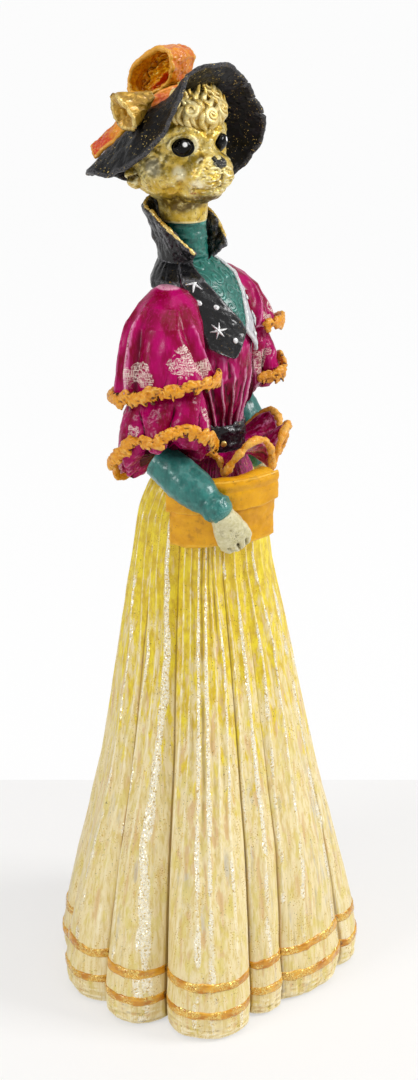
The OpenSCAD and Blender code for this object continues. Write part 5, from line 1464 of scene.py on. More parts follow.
def build_paw(side_name, wrist, tip, flat):
    d = unit(tip - wrist)
    across = unit(np.cross(flat, d))
    out = np.cross(d, across)
    start = wrist + d * .6
    m, n = count(130), count(160)
    length = np.linalg.norm(tip - start) * 1.03
    s, a = np.meshgrid(np.linspace(0, 1, m), np.arange(n) / n * 2 * np.pi, indexing="ij")
    u, v = np.cos(a), np.sin(a)
    # Three gaps part the four toes
    gap = sum(np.exp(-((u - c) / .085) ** 2) for c in TOE_GAPS) * (np.abs(u) < .95)
    toe = smooth(s, .66, .86)
    x = table(s, PAW_FORM, 1) * PAW_HALF_W * np.sign(u) * np.abs(u) ** .85
    y = table(s, PAW_FORM, 2) * PAW_T / 2 * np.sign(v) * np.abs(v) ** .85
    y = y * (1 - .62 * gap * toe)
    reach = s * length * (1 - .13 * gap * toe - .05 * (u * u) * toe)
    # The paw curls over the bag's edge a little
    g = start + d * reach[..., None] + across * x[..., None] + out * (y - 1.2 * toe * s)[..., None]
    g = facing_out(g, g.mean(1, keepdims=True))
    g = rough_up(g, 2.2, .22, True, False, 81)
    shape = capped(mirrored(g, ARMS[side_name][2]))
    make("paw_" + side_name, shape, "paw", edge_rounds=5, edge_size=.22)


def bag_point(turn, s, r):
    """Point of the bag: s runs from its foot to its top."""
    k = (turn - BAG_TURNS[0]) / (BAG_TURNS[1] - BAG_TURNS[0])
    bulge = BAG_T * .1 * np.sin(np.pi * s) * np.sin(np.pi * k)
    p = turn_dir(turn) * (r + bulge)[..., None] + BAG_MID
    p[..., 2] = BAG_Z + BAG_H * s + BAG_H * .12 * k
    return p


def build_bag():
    """Bag and its flap."""
    n = count(260)
    first, last = BAG_TURNS
    t, s = np.meshgrid(np.linspace(first + 2, last - 2, n), np.linspace(.04, .955, count(110)))
    k = (t - first) / (last - first)
    mid = bag_point(t, s, BAG_R - BAG_T / 2)
    g = slab(mid, BAG_T * (1 - .1 * np.abs(2 * k - 1) ** 6), edge=.16)
    g = g + grid_normals(g, False, True) * (fbm(g, 8, 3, 93) * .4 + fbm(g, 1.8, 2, 95) * .07)[..., None]
    make("bag_body", Shape().grid(g, wrap=False, wrap_rows=True), "bag", edge_rounds=6)
    # Flap: folded over the top, its lower edge lifts a little and casts the dark line
    t, s = np.meshgrid(np.linspace(first + 1.5, last - 1.5, n), np.linspace(.585, .985, count(70)))
    wavy = fbm(xyz(t / 12, 0, 0), 1.0, 3, 97) * .018
    drop = .02 * np.sin(np.radians((t - first) * 180 / (last - first)))
    roll = .9 * np.exp(-((s - .93) / .05) ** 2) - .35 * np.exp(-((s - .84) / .035) ** 2)
    skin = fbm(xyz(t / 14, s * 3, 0), 1.0, 3, 99) * .22
    mid = bag_point(t, s + (wavy - drop) * smooth(s, .75, .585),
                    BAG_R + PIN_GAP + FLAP_T / 2 + roll * .45 + skin)
    flap = add_slab(Shape(), mid, FLAP_T, rough=.07, size=1.6, seed=101)
    make("bag_flap", flap, "bag", edge_rounds=5, edge_size=.22)


build_peplum()
for side_name in ARMS:
    build_puff(side_name)
    build_flounce(side_name)
build_forearm("right", RIGHT_WRIST)
build_forearm("left", LEFT_WRIST)
build_paw("right", RIGHT_WRIST, RIGHT_TIP, plan((WRIST_TURN + TIP_TURN) / 2))
build_paw("left", LEFT_WRIST, LEFT_TIP, np.array([-1.0, 0, 0]))
build_bag()


# ---------------------------------------------------------------- head: its own face looks along -Y
SKULL_W, MUZZLE, CHIN, HEAD_TURN = 16.0, 23.5, 15.0, 17.0
HEAD_MID = np.array([-SKULL_W * .19, NECK_BACK, NECK_Z + 37.0])
MUZZLE_R = MUZZLE * .36
# Ellipsoids that blend to the head: skull, jaw, muzzle, chin, neck, each with its middle and half sizes
MASSES = [((0, SKULL_W * .06, SKULL_W * .28), (SKULL_W, SKULL_W * 1.03, SKULL_W * 1.22)),
          ((0, SKULL_W * .04, -CHIN * .42), (SKULL_W, SKULL_W * .9, CHIN * .62)),
          ((0, MUZZLE_R - MUZZLE, -CHIN * .33), (MUZZLE_R, MUZZLE_R, MUZZLE_R * .85)),
          ((0, -MUZZLE * .46, -CHIN * .7), (MUZZLE_R * .8, MUZZLE_R * .75, CHIN * .3)),
          ((SKULL_W * .12, SKULL_W * .05, -CHIN * 1.3), (NECK_R * 1.08, NECK_R * 1.08, CHIN * 1.6))]
HAT_LEAN, HAT_DIP = math.radians(40), math.radians(12)
HAT_SEAT = np.array([0, SKULL_W * .5, SKULL_W * .56])
HAT_AXIS = np.array([-math.cos(HAT_LEAN) * math.sin(HAT_DIP), math.sin(HAT_LEAN),
                     math.cos(HAT_LEAN) * math.cos(HAT_DIP)])
BRIM_T = 1.8
NECK_CUT = HEAD_MID[2] - (NECK_Z + NECK_BAND_H + SEAT)


def head_world(p):
    """Points of the head's frame in the figure's."""
    return rot_z(np.asarray(p), -HEAD_TURN) + HEAD_MID


def skull_r(d):
    """Radius of the head's blended masses in the directions d."""
    total = 0
    for c, s in MASSES:
        q, cc = d / np.array(s), np.array(c) / np.array(s)
        a, b = (q * q).sum(-1), (q * cc).sum(-1)
        e = b * b - a * ((cc * cc).sum() - 1)
        r = np.where(e > 0, np.maximum(0, (b + np.sqrt(np.maximum(e, 0))) / a), 0)
        total = total + (r / SKULL_W) ** 10
    return SKULL_W * total ** .1


def head_dir(az, el):
    """Direction in the head's frame from its turn off the face and its rise, in degrees."""
    a, e = np.radians(az), np.radians(el)
    return np.stack([np.sin(a) * np.cos(e), -np.cos(a) * np.cos(e), np.sin(e)], -1)


def along(p, line, width):
    """1 on a line through points, falling off to the sides over width."""
    line = curve(line, 6 * len(line)) if len(line) > 2 else np.asarray(line, float)
    best = np.full(p.shape[:-1], 1e9)
    for a, b in zip(line[:-1], line[1:]):
        ab = b - a
        s = np.clip(((p - a) @ ab) / (ab @ ab), 0, 1)
        best = np.minimum(best, np.linalg.norm(p - (a + s[..., None] * ab), axis=-1))
    return np.exp(-(best / width) ** 2)


def near(p, c, size):
    """1 at a point, falling off over three sizes."""
    return np.exp(-((((p - np.array(c)) / np.array(size)) ** 2).sum(-1)))


def under_hat(d, gap):
    """Radius at which the directions d meet a plane gap above the brim's underside."""
    k = d @ HAT_AXIS
    return np.where(k > .02, (HAT_SEAT @ HAT_AXIS - BRIM_T / 2 + gap) / np.maximum(k, .02), 1e3)


EYES = {"right": (-8.5, -12.8, 3.9), "left": (7.3, -13.5, 4.3)}
EYE_W, EYE_H, EYE_LOOK = 3.35, 2.65, .6

# Forms of the face: how far each stands out, then a line and its half width, or one point and three sizes.
# These stand on the figure's left side and are mirrored: brow roll, groove over it, pouch, cheek, side of the
# muzzle, fold behind the cheek, whisker pad
SIDE_FORMS = [
    (.8, [(13.4, -8.0, 6.8), (10.3, -11.4, 9.3), (6.6, -13.9, 9.6), (3.0, -15.6, 7.4)], 1.5),
    (-.5, [(13.6, -8.4, 9.6), (9.6, -11.6, 12.0), (5.6, -14.0, 11.6)], 1.0),
    (.35, [(13.0, -9.2, -.6), (9.0, -12.6, -2.0), (5.8, -14.8, -1.2)], 1.5),
    (1.3, [(12.0, -9.5, -6.0)], (4.5, 5.0, 4.0)),
    (.9, [(5.0, -16.5, .6), (7.4, -16.4, -3.0), (8.4, -15.0, -7.4)], 2.4),
    (-.6, [(15.0, -3.6, 3.6), (13.2, -8.6, 1.6), (13.6, -7.6, -1.6)], .9),
    (.35, [(4.6, -21.2, -6.2)], (3.0, 3.4, 3.0)),
]
MOUTH = [(7.4, -16.5, -9.2), (3.6, -20.4, -9.9), (.6, -22.0, -9.3), (-2.8, -21.0, -9.8), (-5.4, -19.0, -9.7),
         (-7.4, -15.6, -10.0)]
# Bridge of the nose, hollow over it, split lip, mouth, chin, jaw
MIDDLE_FORMS = [
    (1.7, [(0, -15.6, 5.4), (0, -17.6, 3.0), (0, -20.5, .9)], 2.1),
    (-.7, [(0, -15.8, 7.6)], (2.2, 3.0, 1.6)),
    (-.75, [(.1, -23.0, -2.4), (.3, -23.6, -5.0), (.5, -22.6, -8.8)], .6),
    (-.6, MOUTH, .75),
    (.15, [(4.0, -19.4, -11.4), (.4, -20.6, -11.2), (-4.0, -18.6, -11.4)], 1.3),
    (.5, [(-14.0, -1.0, -11.8), (-10.4, -8.2, -12.2), (-6.4, -13.4, -12.6), (0, -16.4, -13.4),
          (6.4, -13.4, -12.6), (10.4, -8.2, -12.2), (14.0, -1.0, -11.8)], 1.5),
]
# Places that the paint darkens: beside the nose, mouth, under the chin, throat, between the brows, right brow.
# All but the mouth are painted shade, in hollows and under the jaw.
DARK_PLACES = [
    (1, [(-4.2, -16.5, 3.2), (-5.0, -17.6, 0.0), (-5.6, -18.4, -2.8)], 1.5),
    (1, [(4.2, -16.0, 3.2), (5.0, -17.4, 0.0), (5.6, -18.4, -2.8)], 1.5),
    (.4, MOUTH, .75),
    (.8, [(0.0, -17.0, -13.4)], (9.0, 6.0, 2.2)),
    (1.25, [(-4.5, -6, -16.0)], (10.0, 10.0, 3.4)),
    (.5, [(-1.0, -15.6, 9.4)], (3.4, 3, 1.6)),
    (.7, [(-13.8, -8.0, 8.6), (-9.6, -11.8, 11.0), (-5.6, -14.2, 10.8)], .8),
]
# Painted highlights on the face: pale patches on the cheeks, the muzzle and beside the nose
PAINTED_HIGHLIGHT_PLACES = [
    (1, [(-15.0, -5.0, -3.0)], (3.0, 4.0, 3.6)), (1, [(-9.8, -12.6, -4.4)], (2.4, 3, 3.0)),
    (1, [(-6.8, -18.4, -7.6)], (2.2, 3, 2.2)), (1, [(15.0, -5.0, -3.0)], (3.0, 4.0, 3.6)),
    (1, [(9.8, -12.6, -4.4)], (2.4, 3, 3.0)), (1, [(-5.0, -14.5, 4.6)], (1.6, 2, 2.6)),
]
BLUSH_PLACES = [(1, [(-6.2, -16.2, -11.4), (-8.0, -12.2, -11.6), (-9.6, -8.6, -11.9)], .8)]


def add_forms(out, p, forms, side=1):
    """Sum of out and the forms at points p."""
    for rise, points, size in forms:
        points = [(side * x, y, z) for x, y, z in points]
        out = out + rise * (near(p, points[0], size) if len(points) == 1 else along(p, points, size))
    return out


def face_form(p):
    """How far the face stands out of the plain masses at points p, and the places that the paint needs."""
    out, ink = np.zeros(p.shape[:-1]), np.zeros(p.shape[:-1])
    front = p[..., 1] < 0
    for name, (ex, ey, ez) in EYES.items():
        side = -1 if name == "right" else 1
        dx = (p[..., 0] - ex) * math.cos(EYE_LOOK) + side * (p[..., 1] - ey) * math.sin(EYE_LOOK)
        dz = p[..., 2] - ez
        # Socket round the eye, with its lid standing out, and an ink line round its edge
        ring = np.hypot(dx / (EYE_W + .35), dz / (EYE_H + .35))
        lid = .5 * np.exp(-((ring - 1.28) / .2) ** 2) * (.75 + .45 * np.tanh(dz))
        out += front * (-1.1 * np.exp(-(ring / .8) ** 2) + lid)
        ink = np.maximum(ink, front * smooth(ring, 1.08, 1.0))
        out = add_forms(out, p, SIDE_FORMS, side)
    out = add_forms(out, p, MIDDLE_FORMS)
    muzzle = near(p, (0, -20.5, -6.0), (6.5, 5.5, 5.0))
    out += muzzle * (fbm(xyz(p[..., 0], p[..., 1] * .4, p[..., 2]), (2.4, 2.4, 1.0), 3, 201) * 1.0)
    out += fbm(p, 6.0, 3, 203) * .5 + fbm(p, 2.4, 3, 205) * .3 + fbm(p, .8, 2, 207) * .05
    places = {name: np.clip(add_forms(0, p, forms), 0, 1) for name, forms in
              (("dark", DARK_PLACES), ("painted_highlight", PAINTED_HIGHLIGHT_PLACES), ("blush", BLUSH_PLACES))}
    return out, {**places, "ink": ink}


def soften(r, degrees):
    """Radii over the whole turn and rise of the head, blurred over some degrees."""
    for axis, step in ((1, 360 / r.shape[1]), (0, 174 / r.shape[0])):
        reach = int(2 * degrees / step)
        k = np.exp(-.5 * (np.arange(-reach, reach + 1) * step / degrees) ** 2)
        margins = [(reach, reach) if a == axis else (0, 0) for a in (0, 1)]
        wide = np.pad(r, margins, mode="wrap" if axis else "edge")
        r = sum(w * np.take(wide, range(j, j + r.shape[axis]), axis) for j, w in enumerate(k / k.sum()))
    return r


def build_head():
    az, el = np.meshgrid(around(count(520)), np.linspace(-87, 87, count(420)))
    d = head_dir(az, el)
    r = soften(skull_r(d), 3.2)
    form, places = face_form(d * r[..., None])
    r = r + form - .1
    neck = np.where(d[..., 2] < -.05, (NECK_CUT + .4) / np.maximum(-d[..., 2], .05), 1e3)
    r = np.minimum(np.minimum(r, under_hat(d, .4)), neck)
    g = head_world(d * r[..., None])
    make("head", capped(g, **places), "leaf", edge_rounds=7, edge_size=.3)


def dome(centre, w, h, bulge, almond=0.0, n=72, m=26, seed=0, rough=0.0):
    """Dome on the head round a direction, w and h its half sizes. almond draws its corners out."""
    d0 = unit(np.array(centre, float))
    side = unit(np.cross(UP, d0))
    up = np.cross(d0, side)
    reach = float(skull_r(d0))
    a = np.linspace(0, 2 * math.pi, n, endpoint=False)
    rows = []
    for q in np.concatenate([[1.0, 1.0], np.cos(np.linspace(0, math.pi / 2, m))[1:-1]]):
        x = w * q * np.cos(a)
        z = h * q * np.sin(a) * (1 - almond * np.abs(np.cos(a)) ** 3)
        dd = unit(d0 * reach + side * x[:, None] + up * z[:, None])
        lift = -1.4 if not rows else bulge * math.sqrt(max(0, 1 - q * q)) - .25
        rows.append(dd * (skull_r(dd) + lift)[:, None])
    g = np.array(rows)
    if rough:
        g = rough_up(g, 1.6, rough, True, False, seed)
    return head_world(g)


def build_features():
    """Eyes, nose and ears."""
    for side, c in EYES.items():
        g = dome(c, EYE_W, EYE_H, 1.75, .34)
        # Painted reflection of a lamp: a white catchlight up and to the figure's left of the middle
        out = unit(head_world(np.array(c)) - HEAD_MID)
        off = g - HEAD_MID - (head_world(np.array(c) + np.array([.75, 0, .7])) - HEAD_MID)
        dab = smooth(np.linalg.norm(off - (off @ out)[..., None] * out, axis=-1), 1.0, .55)
        make("eye_" + side, capped(g, dab=dab), "eye", edge_rounds=2)
    g = dome((0, -MUZZLE, -.3), 2.7, 2.0, 1.5, .15, seed=3, rough=.3)
    make("nose", capped(g), "nose", edge_rounds=3, edge_size=.15)
    for side, x in (("right", -1), ("left", 1)):
        g = dome((x * SKULL_W, SKULL_W * .4, -CHIN * .55), 4.4, 4.0, 3.0, 0, 90, 40)
        # Fold across the lobe, with painted shade along it
        local = g - head_world(np.array([x * 17.5, 6.0, -8.5]))
        fold = np.exp(-((local[..., 2] + local[..., 1] * .35 - .6) / .7) ** 2)
        g = g - unit(g - HEAD_MID) * (fold * 1.3)[..., None]
        g = rough_up(g, 2.4, .5, True, False, 31 + x)
        make("ear_" + side, capped(g, dark=fold), "leaf", edge_rounds=5)


# Rows of locks: rise of the roots and number of locks. Ringlets: turn and rise
LOCK_ROWS = [(33, 11), (41, 11), (49, 9)]
RINGLETS = [(-24, 46), (3, 41), (26, 45)]
# Middle of a lock: share of its bend, share of its rise, lift
LOCK_PATH = [(.6, .22, 1.5), (.5, .5, 2.6), (-.35, .75, 2.7)]


def hair_spot(turn, rise, lift):
    """Point over the skull, lift above it."""
    d = head_dir(np.array(turn), np.array(rise))
    return d * (skull_r(d) + lift)


def add_strand(shape, path, radius, taper):
    """Lock of hair along a path, with a groove or two along it."""
    s = np.linspace(0, 1, len(path))
    r = radius * np.clip(np.minimum(s * 5 + .35, 1) * (1 - taper * s ** 1.6), .07, 1)
    g = tube(path, r, 12, path.mean(0), .8)
    turn = np.arange(g.shape[1]) / g.shape[1] * 2 * np.pi
    g = path[:, None] + (g - path[:, None]) * (1 + .13 * np.cos(3 * turn + 2 * s[:, None]))[..., None]
    shape.grid(head_world(g), cap0=True, cap1=True)


def build_curls():
    """Thick locks rise off the brow in S bends to free tips, with ringlets among them over a base."""
    rng = np.random.default_rng(23)
    shape = Shape()
    az, v = np.meshgrid(np.linspace(-52, 58, count(150)), np.linspace(0, 1, count(50)))
    d = head_dir(az, lerp(33 + 9 * np.abs(az) / 58, 60, v))
    edge = smooth(v, 0, .2) * smooth(np.abs(az), 58, 50) * smooth(az, -52, -44)
    r = skull_r(d) + (.2 + 1.0 * edge) + fbm(d * 20, 3.0, 3, 61) * .8 * edge
    r = np.minimum(r, under_hat(d, 0))
    shape.grid(head_world(d * (r - .2)[..., None]), wrap=False)
    for row, (el0, locks) in enumerate(LOCK_ROWS):
        for j in range(locks):
            a = lerp(-42, 54, (j + .5 * (row % 2)) / (locks - .5)) + rng.uniform(-2, 2)
            e = el0 + 8 * abs(a) / 58 + rng.uniform(-1.5, 1.5)
            bend = rng.choice([-1, 1]) * rng.uniform(6, 11)
            rise = rng.uniform(12, 17)
            tip = rng.uniform(2.6, 5.2) if row == 2 else rng.uniform(1.8, 3.4)
            spots = [hair_spot(a - bend * .2, e - 2, .2)]
            spots += [hair_spot(a + bend * u, e + rise * v, lift) for u, v, lift in LOCK_PATH]
            spots += [hair_spot(a - bend * .55, e + rise * .95, tip),
                      hair_spot(a + bend * .1, e + rise * 1.08, tip + .5)]
            add_strand(shape, curve(spots, 34), rng.uniform(1.1, 1.5), .95)
    for a, e in RINGLETS:
        turns = np.linspace(0, 2 * math.pi * 1.45, 34)
        spin, start = rng.choice([-1, 1]), rng.uniform(0, 6)
        rad = np.linspace(7.0, 2.6, len(turns))
        path = []
        for k, (q, w) in enumerate(zip(rad, start + spin * turns)):
            path.append(hair_spot(a + q * 1.3 * math.cos(w), e + q * .9 * math.sin(w),
                                  2.5 + .9 * k / len(turns)))
        add_strand(shape, np.array(path), 1.2, .6)
    make("brow_curls", shape, "curl", edge_rounds=4, edge_size=.55)


build_head()
build_features()
build_curls()


# ---------------------------------------------------------------- hat: its own crown rises along Z
# Round the rim: turn, reach as a share of BRIM_R, rise as a share of BRIM_R
RIM = [(-180, .9, -.2), (-155, .88, -.05), (-130, .92, 0), (-112, 1, -.06), (-100, 1.06, -.12),
       (-85, 1.03, -.36),
       (-70, 1.03, -.45), (-55, 1.03, -.48), (-40, 1, -.41), (-25, .97, -.25), (-10, 1, 0), (5, 1.06, -.03),
       (20, 1.03, -.04), (36, .97, -.11), (52, .94, -.22), (68, .95, -.375), (84, .99,
                                                                              -.49), (98, 1.02, -.56),
       (112, 1, -.6), (126, .96, -.62), (150, .92, -.55), (180, .9, -.2)]
BRIM_R, CROWN_R, CROWN_H, BAND_T = 32.0, 12.5, 5.5, 1.2
FLAT_R = CROWN_R * 1.42
CROWN_ROUND = 2.2
BOW_W, BOW_T = 13.0, 2.6
BOW_TURN = -63
KNOT = plan(-38) * (CROWN_R + BAND_T + 3 * PIN_GAP) + np.array([0, 0, BRIM_T / 2 + PIN_GAP])


def hat_world(p):
    """Points of the hat's frame in the figure's."""
    ca, sa, cb, sb = math.cos(-HAT_LEAN), math.sin(-HAT_LEAN), math.cos(-HAT_DIP), math.sin(-HAT_DIP)
    rx = np.array([[1, 0, 0], [0, ca, -sa], [0, sa, ca]])
    ry = np.array([[cb, 0, sb], [0, 1, 0], [-sb, 0, cb]])
    return head_world(np.asarray(p) @ (ry @ rx).T + HAT_SEAT)


def round_table(t, column):
    """Smooth curve round the rim through a column of RIM."""
    fine = np.linspace(-180, 180, 1441)
    raw = table(fine, RIM, column)
    width = 13
    kernel = np.hanning(2 * width + 1)
    kernel /= kernel.sum()
    soft = np.convolve(np.concatenate([raw[:-1][-width:], raw, raw[1:][:width]]), kernel, "valid")
    return np.interp((np.asarray(t) + 180) % 360 - 180, fine, soft)


def brim_point(t, s):
    """Point of the brim's middle: s runs from under the crown to the rim."""
    r1 = BRIM_R * round_table(t, 1)
    r = lerp(FLAT_R * .45, r1, s)
    f = np.maximum(0, (r - FLAT_R) / (r1 - FLAT_R))
    p = turn_dir(t) * r[..., None]
    p[..., 2] = BRIM_R * round_table(t, 2) * f ** 1.5
    return p


# Nicks in the rim: turn and half width in degrees
NICKS = [(46, 2), (60, 1.8), (74, 2.2), (-128, 2), (160, 2)]


def build_brim():
    """Brim with nicks bitten out of its rim."""
    turns = around(count(700))
    t, s = np.meshgrid(turns, np.linspace(0, 1, count(110)))
    torn = sum(smooth(np.abs((turns - c + 180) % 360 - 180), w, w * .3) for c, w in NICKS)
    reach = 1 - .05 * torn - .01 * (fbm(turn_dir(turns) * 30, 5.0, 3, 73) + .4)
    mid = brim_point(t, s * (1 - (1 - reach)[None] * smooth(s, .86, 1.0)))
    lift = fbm(mid, 8, 3, 75) * .6 * smooth(s, .25, .6) + .3 * torn[None] * smooth(s, .9, 1.0)
    mid = mid + grid_normals(mid) * lift[..., None]
    g = rough_up(slab(mid, BRIM_T * lerp(1.0, .8, s ** 6), True), 2.0, .14, True, True, 79)
    make("hat_brim", Shape().grid(hat_world(g), wrap_rows=True), "hat", edge_rounds=6, edge_size=.3)


def build_crown():
    """Crown of the hat, and the band round its foot."""
    turns = around(count(260))
    foot = BRIM_T / 2 + PIN_GAP
    # Profile: a straight wall, a rounded shoulder and a top that dips to the middle
    prof = [(CROWN_R + .2, -.2), (CROWN_R + .1, 1.5), (CROWN_R, 3.5)]
    prof += [(CROWN_R - CROWN_ROUND * (1 - math.cos(a)), CROWN_H - CROWN_ROUND * (1 - math.sin(a)))
             for a in np.linspace(0, math.pi / 2, 9)]
    prof += [(r, CROWN_H - .35 * (1 - r / CROWN_R)) for r in np.linspace(CROWN_R - 2.4, .4, count(30))]
    g = np.array([turn_dir(turns) * r + UP * (foot + z) for r, z in prof])
    g = rough_up(g, 4.0, .3, True, False, 81)
    make("hat_crown", capped(hat_world(g)), "hat", edge_rounds=6)
    t, s = np.meshgrid(turns, np.linspace(0, 1, count(30)))
    skin = fbm(turn_dir(t) * 12 + s[..., None] * 3, (4, 4, 1.2), 3, 83) * .25
    mid = turn_dir(t) * (CROWN_R + PIN_GAP + BAND_T / 2 + skin)[..., None]
    mid[..., 2] = foot + lerp(.25, 4.2, s)
    g = rough_up(slab(mid, BAND_T, True), 1.4, .1, True, True, 85)
    make("hat_band", Shape().grid(hat_world(g), wrap_rows=True), "orange", edge_rounds=5)


def build_big_loop():
    """A ribbon bent round, standing on the crown, with a crumpled lining."""
    a, v = np.meshgrid(np.linspace(0, 2 * math.pi, count(320), endpoint=False),
                       np.linspace(-.5, .5, count(70)))
    half_w, half_h = BOW_W * .88 - BOW_T / 2, BOW_W * .6 - BOW_T / 2
    flare = 1 - .1 * v
    wave = fbm(xyz(np.cos(a) * 2, np.sin(a) * 2, v * 1.6), 1.0, 3, 91) * .55
    x = (half_w + wave) * np.sin(a) * (1 - .15 * np.cos(a)) * flare
    z = half_h - (half_h + wave) * np.cos(a) * flare + BOW_T / 2
    pinch = .82 + .18 * smooth(z / (2 * half_h), 0, .5)
    mid = xyz(x, -v * BOW_W * pinch * .97, z)[:, ::-1]
    centre = np.array([0, 0, half_h])
    if (grid_normals(mid) * (mid - centre) * np.array([1, 0, 1])).sum() < 0:
        mid = mid[::-1]
    g = slab(mid, BOW_T * .6, True)
    g = rough_up(g, 3.0, .35, True, True, 93)
    g = rough_up(g, .9, .07, True, True, 95)
    place = np.array([CROWN_R * .39, -CROWN_R * .47, BRIM_T / 2 + CROWN_H + 2 * PIN_GAP])
    gilt = smooth(-((g - centre) * grid_normals(g, True, True)).sum(-1), .5, 3.0)
    shape = Shape().grid(hat_world(rot_z(g, BOW_TURN) + place), wrap_rows=True, gilt=gilt * .6)
    # Crumpled gilt lining closes the loop's far side, and swells forward at the foot as a red lobe
    rho, ang = np.meshgrid(np.linspace(.04, 1, count(70)),
                           np.linspace(0, 2 * math.pi, count(260), endpoint=False), indexing="ij")
    foot = smooth(np.cos(ang), -.1, .9)
    out_x, out_z = (half_w - .5) * np.sin(ang) * (1 - .15 * np.cos(ang)), (half_h - .5) * np.cos(ang)
    swell = 1 - rho ** 2.2
    y = 1.6 - swell * (1.0 + 5.0 * foot * smooth(rho, .05, .6))
    y = y + 2.4 * swell * (1 - foot) * smooth(rho, .05, .5)
    face = xyz(out_x * rho, y, half_h + BOW_T / 2 - out_z * rho)
    crumple = np.abs(fbm(face, (3.8, 3.8, 2.6), 3, 97)) * 2.6 - .7
    front = face + np.array([0, -1, 0]) * (crumple * smooth(rho, 1.0, .8))[..., None]
    back = face + np.array([0, 1.0, 0]) * (1.1 * smooth(rho, 1.0, .9))[..., None]

    def there_and_back(first, second):
        """Rows of the back from its middle to the rim, then of the front to its middle."""
        return np.concatenate([first, second[::-1][1:]])
    lining = there_and_back(back, front)
    if (grid_normals(lining)[:len(back), :, 1]).sum() < 0:
        lining = lining[:, ::-1]
        foot = foot[:, ::-1]
    low = there_and_back(foot, foot) * smooth(there_and_back(rho, rho), .3, .65)
    lining = hat_world(rot_z(lining, BOW_TURN) + place)
    shape.grid(lining, cap0=True, cap1=True, gilt=1 - low, red=low * .8)
    make("bow_big_loop", shape, "bow", edge_rounds=5, edge_size=.25)


# Gilt loop: place along it, half width and half height as shares of BOW_W
GOLD_SHARE = [(.0, .10, .10), (.1, .14, .14), (.45, .275, .24), (.81, .43, .34), (1.11, .53, .4)]
GOLD_START, GOLD_DIR, GOLD_UP = np.array([-.096, -.396, .242]), (-.83, .023, -.153), (.4, -.337, .852)
GOLD_LEN, GOLD_HOLLOW = 1.1, .8


def build_gold_loop():
    """A flared, flattened tube off the knot, whose mouth closes in a crumpled hollow."""
    ahead = unit(GOLD_DIR)
    w = unit(np.cross(unit(GOLD_UP), ahead))
    s = unit(np.cross(ahead, w))
    outside, inside = np.linspace(.02, GOLD_LEN, count(80)), np.linspace(GOLD_LEN, GOLD_HOLLOW, count(60))
    ring = np.linspace(0, 2 * math.pi, count(220), endpoint=False)
    # The mouth is a soft triangle with a straight lower side
    tri = 1 + .1 * np.cos(3 * ring + .6)
    rows = []
    for k, q in enumerate(np.concatenate([outside, inside])):
        rw, rh = (table(q, GOLD_SHARE, column) * BOW_W for column in (1, 2))
        if k >= len(outside):
            wall = .55 + .5 * q
            shut = 1 - .97 * ((GOLD_LEN - q) / .3) ** .7
            rw, rh = (rw - wall) * shut, (rh - wall) * shut
        c = KNOT + GOLD_START * BOW_W + ahead * BOW_W * q
        rows.append(c + s * (rw * np.cos(ring) * tri)[:, None] - w * (rh * np.sin(ring) * tri)[:, None])
    g = np.array(rows)
    half = len(outside)
    if ((g - g.mean(1, keepdims=True))[:half] * grid_normals(g)[:half]).sum() < 0:
        g = g[:, ::-1]
    hollow = (np.arange(len(g)) >= half)[:, None] * np.ones(len(ring))
    crinkle = np.abs(fbm(g, (3.4, 3.4, 3.4), 2, 101)) * .9 * hollow
    crinkle = crinkle + (.3 - np.abs(fbm(g, (4.5, 2.6, 2.4), 2, 103)) * 1.5) * .35 * (1 - hollow)
    g = g + grid_normals(g) * crinkle[..., None]
    make("bow_gold_loop", capped(hat_world(g)), "bronze", edge_rounds=5, edge_size=.25)


# Tail: its middle line from the knot as shares of BOW_W
TAIL = [(0, 0, .21), (-.27, .3, .21), (-.52, .86, .21), (-.75, 1.42, .21), (-1, 1.8, .21)]


def build_tail():
    """A ribbon that runs off over the brim to a red end."""
    across = unit([.458, .38, .8])
    line = curve([KNOT + np.array([q[0] - .13, q[1] - .1, q[2]]) * BOW_W for q in TAIL], count(150))
    v = np.linspace(-1, 1, count(60))[:, None]
    k = np.linspace(0, 1, len(line))[None]
    mid = line[None] + across * (v * BOW_W * .235)[..., None]
    mid = mid + grid_normals(mid, False) * (fbm(xyz(k * 5, v * 1.2, 0), 1.0, 3, 105) * .5)[..., None]
    g = slab(mid, BOW_T * .6)
    red = smooth((g - KNOT) @ unit([-.5, .86, 0]), 14.0, 22.0)
    g = rough_up(g, 1.6, .16, False, True, 107)
    shape = Shape().grid(hat_world(g), wrap=False, wrap_rows=True, red=red)
    make("bow_tail", shape, "bow", edge_rounds=5, edge_size=.25)


build_brim()
build_crown()
build_big_loop()
build_gold_loop()
build_tail()


# ---------------------------------------------------------------- hidden pieces, stage, lights and camera
def plain_slot(node, key):
    """Paint for a piece that stays as the CAD made it."""
    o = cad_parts[node]
    o.data.materials.clear()
    o.data.materials.append(PAINT[key])


for node, key in (("felt_pad", "felt"), ("base_plate", "board"), ("waist_dowel", "dowel"),
                  ("neck_pin", "steel")):
    plain_slot(node, key)


TABLE_END = .145
AWAY, ASIDE = np.array([.8192, .5736]), np.array([.5736, -.8192])
FLOOR_HALF, SWEEP_START, SWEEP_R, SWEEP_TOP, SWEEP_STEPS = 3.0, 1.4, .8, 2.2, 24
WHITE = (1.0, 1.0, 1.0, 1.0)
GLOSSY_SHARE, WORLD_LIGHT = .35, .36
# Area lamps: place, size, power. They all look at LAMP_TARGET
LAMPS = {"key_lamp": ((.55, -1.15, 1.0), .5, 15.0), "side_lamp": ((-1.35, .35, .8), .45, 8.0),
         "top_lamp": ((-.3, -.3, 1.6), 1.0, 6.0)}
LAMP_TARGET = (0.0, 0.0, .18)
# Camera fitted to the photograph, in the photograph's pixels where no other unit is given
CAMERA_PLACE, CAMERA_TARGET = (-.52003, -.36413, .41869), (0.0, 0.0, .175)
PHOTO_H, FOCAL, SHIFT_X, SHIFT_Y = 1080, 1881.75, -2.5, 1.2
SENSOR = 36.0


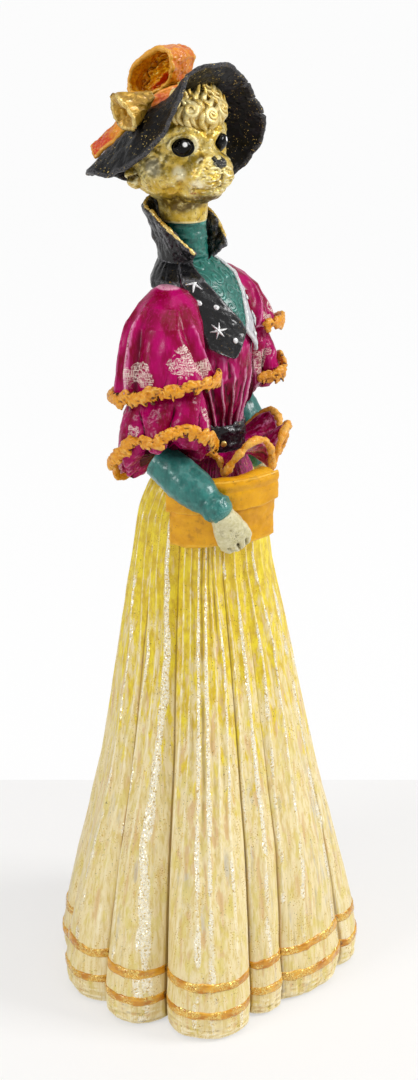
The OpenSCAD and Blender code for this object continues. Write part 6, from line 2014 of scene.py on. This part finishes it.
def paper(name, glow, a, b):
    """Pale matt paper. The camera and mirrors see it glow, while its own shading keeps the shadow."""
    mat = bpy.data.materials.new(name)
    p = Nodes(mat)
    tint = p.mix(p.node("TexNoise", {"Scale": 6.0}).outputs["Fac"], a, b)
    bsdf = p.node("BsdfPrincipled", {"Base Color": tint, "Roughness": .6, "Specular IOR Level": .2})
    lit = p.node("Emission", {"Color": WHITE})
    share = p.math("MULTIPLY", p.seen(), glow)
    both = p.node("MixShader", {0: share, 1: bsdf.outputs[0], 2: lit.outputs[0]})
    p.node("OutputMaterial", {"Surface": both.outputs[0]})
    return mat


def link(name, data):
    """New object in the scene."""
    o = bpy.data.objects.new(name, data)
    bpy.context.scene.collection.objects.link(o)
    return o


def aim(o, target):
    o.rotation_euler = (Vector(target) - o.location).to_track_quat("-Z", "Y").to_euler()


def build_stage():
    """Table top whose far edge lies TABLE_END behind the figure, and the sweep behind it."""
    me = bpy.data.meshes.new("floor")
    prof = [(-FLOOR_HALF, 0.0), (TABLE_END, 0.0), (SWEEP_START, 0.0)]
    prof += [(SWEEP_START + SWEEP_R * math.sin(a), SWEEP_R * (1 - math.cos(a)))
             for a in np.linspace(0, math.pi / 2, SWEEP_STEPS)[1:]]
    prof.append((SWEEP_START + SWEEP_R, SWEEP_TOP))
    verts = [(*(AWAY * y + ASIDE * s), z) for y, z in prof for s in (-FLOOR_HALF, FLOOR_HALF)]
    faces = [(k - 2, k - 1, k + 1, k) for k in range(2, len(verts), 2)]
    me.from_pydata(verts, [], faces)
    me.materials.append(paper("floor_paper", .55, "EDEBE9", "F0EEEC"))
    me.materials.append(paper("backdrop_paper", .93, "FAFAFA", "FCFCFC"))
    for k, poly in enumerate(me.polygons):
        poly.use_smooth = True
        poly.material_index = min(k, 1)
    link("floor", me)


def build_lights():
    world = bpy.context.scene.world or bpy.data.worlds.new("world")
    bpy.context.scene.world = world
    p = Nodes(world)
    light, seen = (p.node("Background", {"Color": WHITE, "Strength": x}).outputs[0]
                   for x in (WORLD_LIGHT, 1.0))
    mixer = p.node("MixShader", {0: p.seen(), 1: light, 2: seen})
    p.node("OutputWorld", {"Surface": mixer.outputs[0]})
    for name, (place, size, power) in LAMPS.items():
        lamp = bpy.data.lights.new(name, "AREA")
        lamp.energy, lamp.size = power, size
        o = link(name, lamp)
        o.location = place
        aim(o, LAMP_TARGET)


def build_camera():
    data = bpy.data.cameras.new("camera")
    data.sensor_width = SENSOR
    data.lens = FOCAL * SENSOR / PHOTO_H
    data.shift_x, data.shift_y = SHIFT_X / PHOTO_H, SHIFT_Y / PHOTO_H
    camera = link("camera", data)
    camera.location = CAMERA_PLACE
    aim(camera, CAMERA_TARGET)
    bpy.context.scene.camera = camera
    bpy.context.scene.view_settings.view_transform = "Standard"


build_stage()
build_lights()
build_camera()
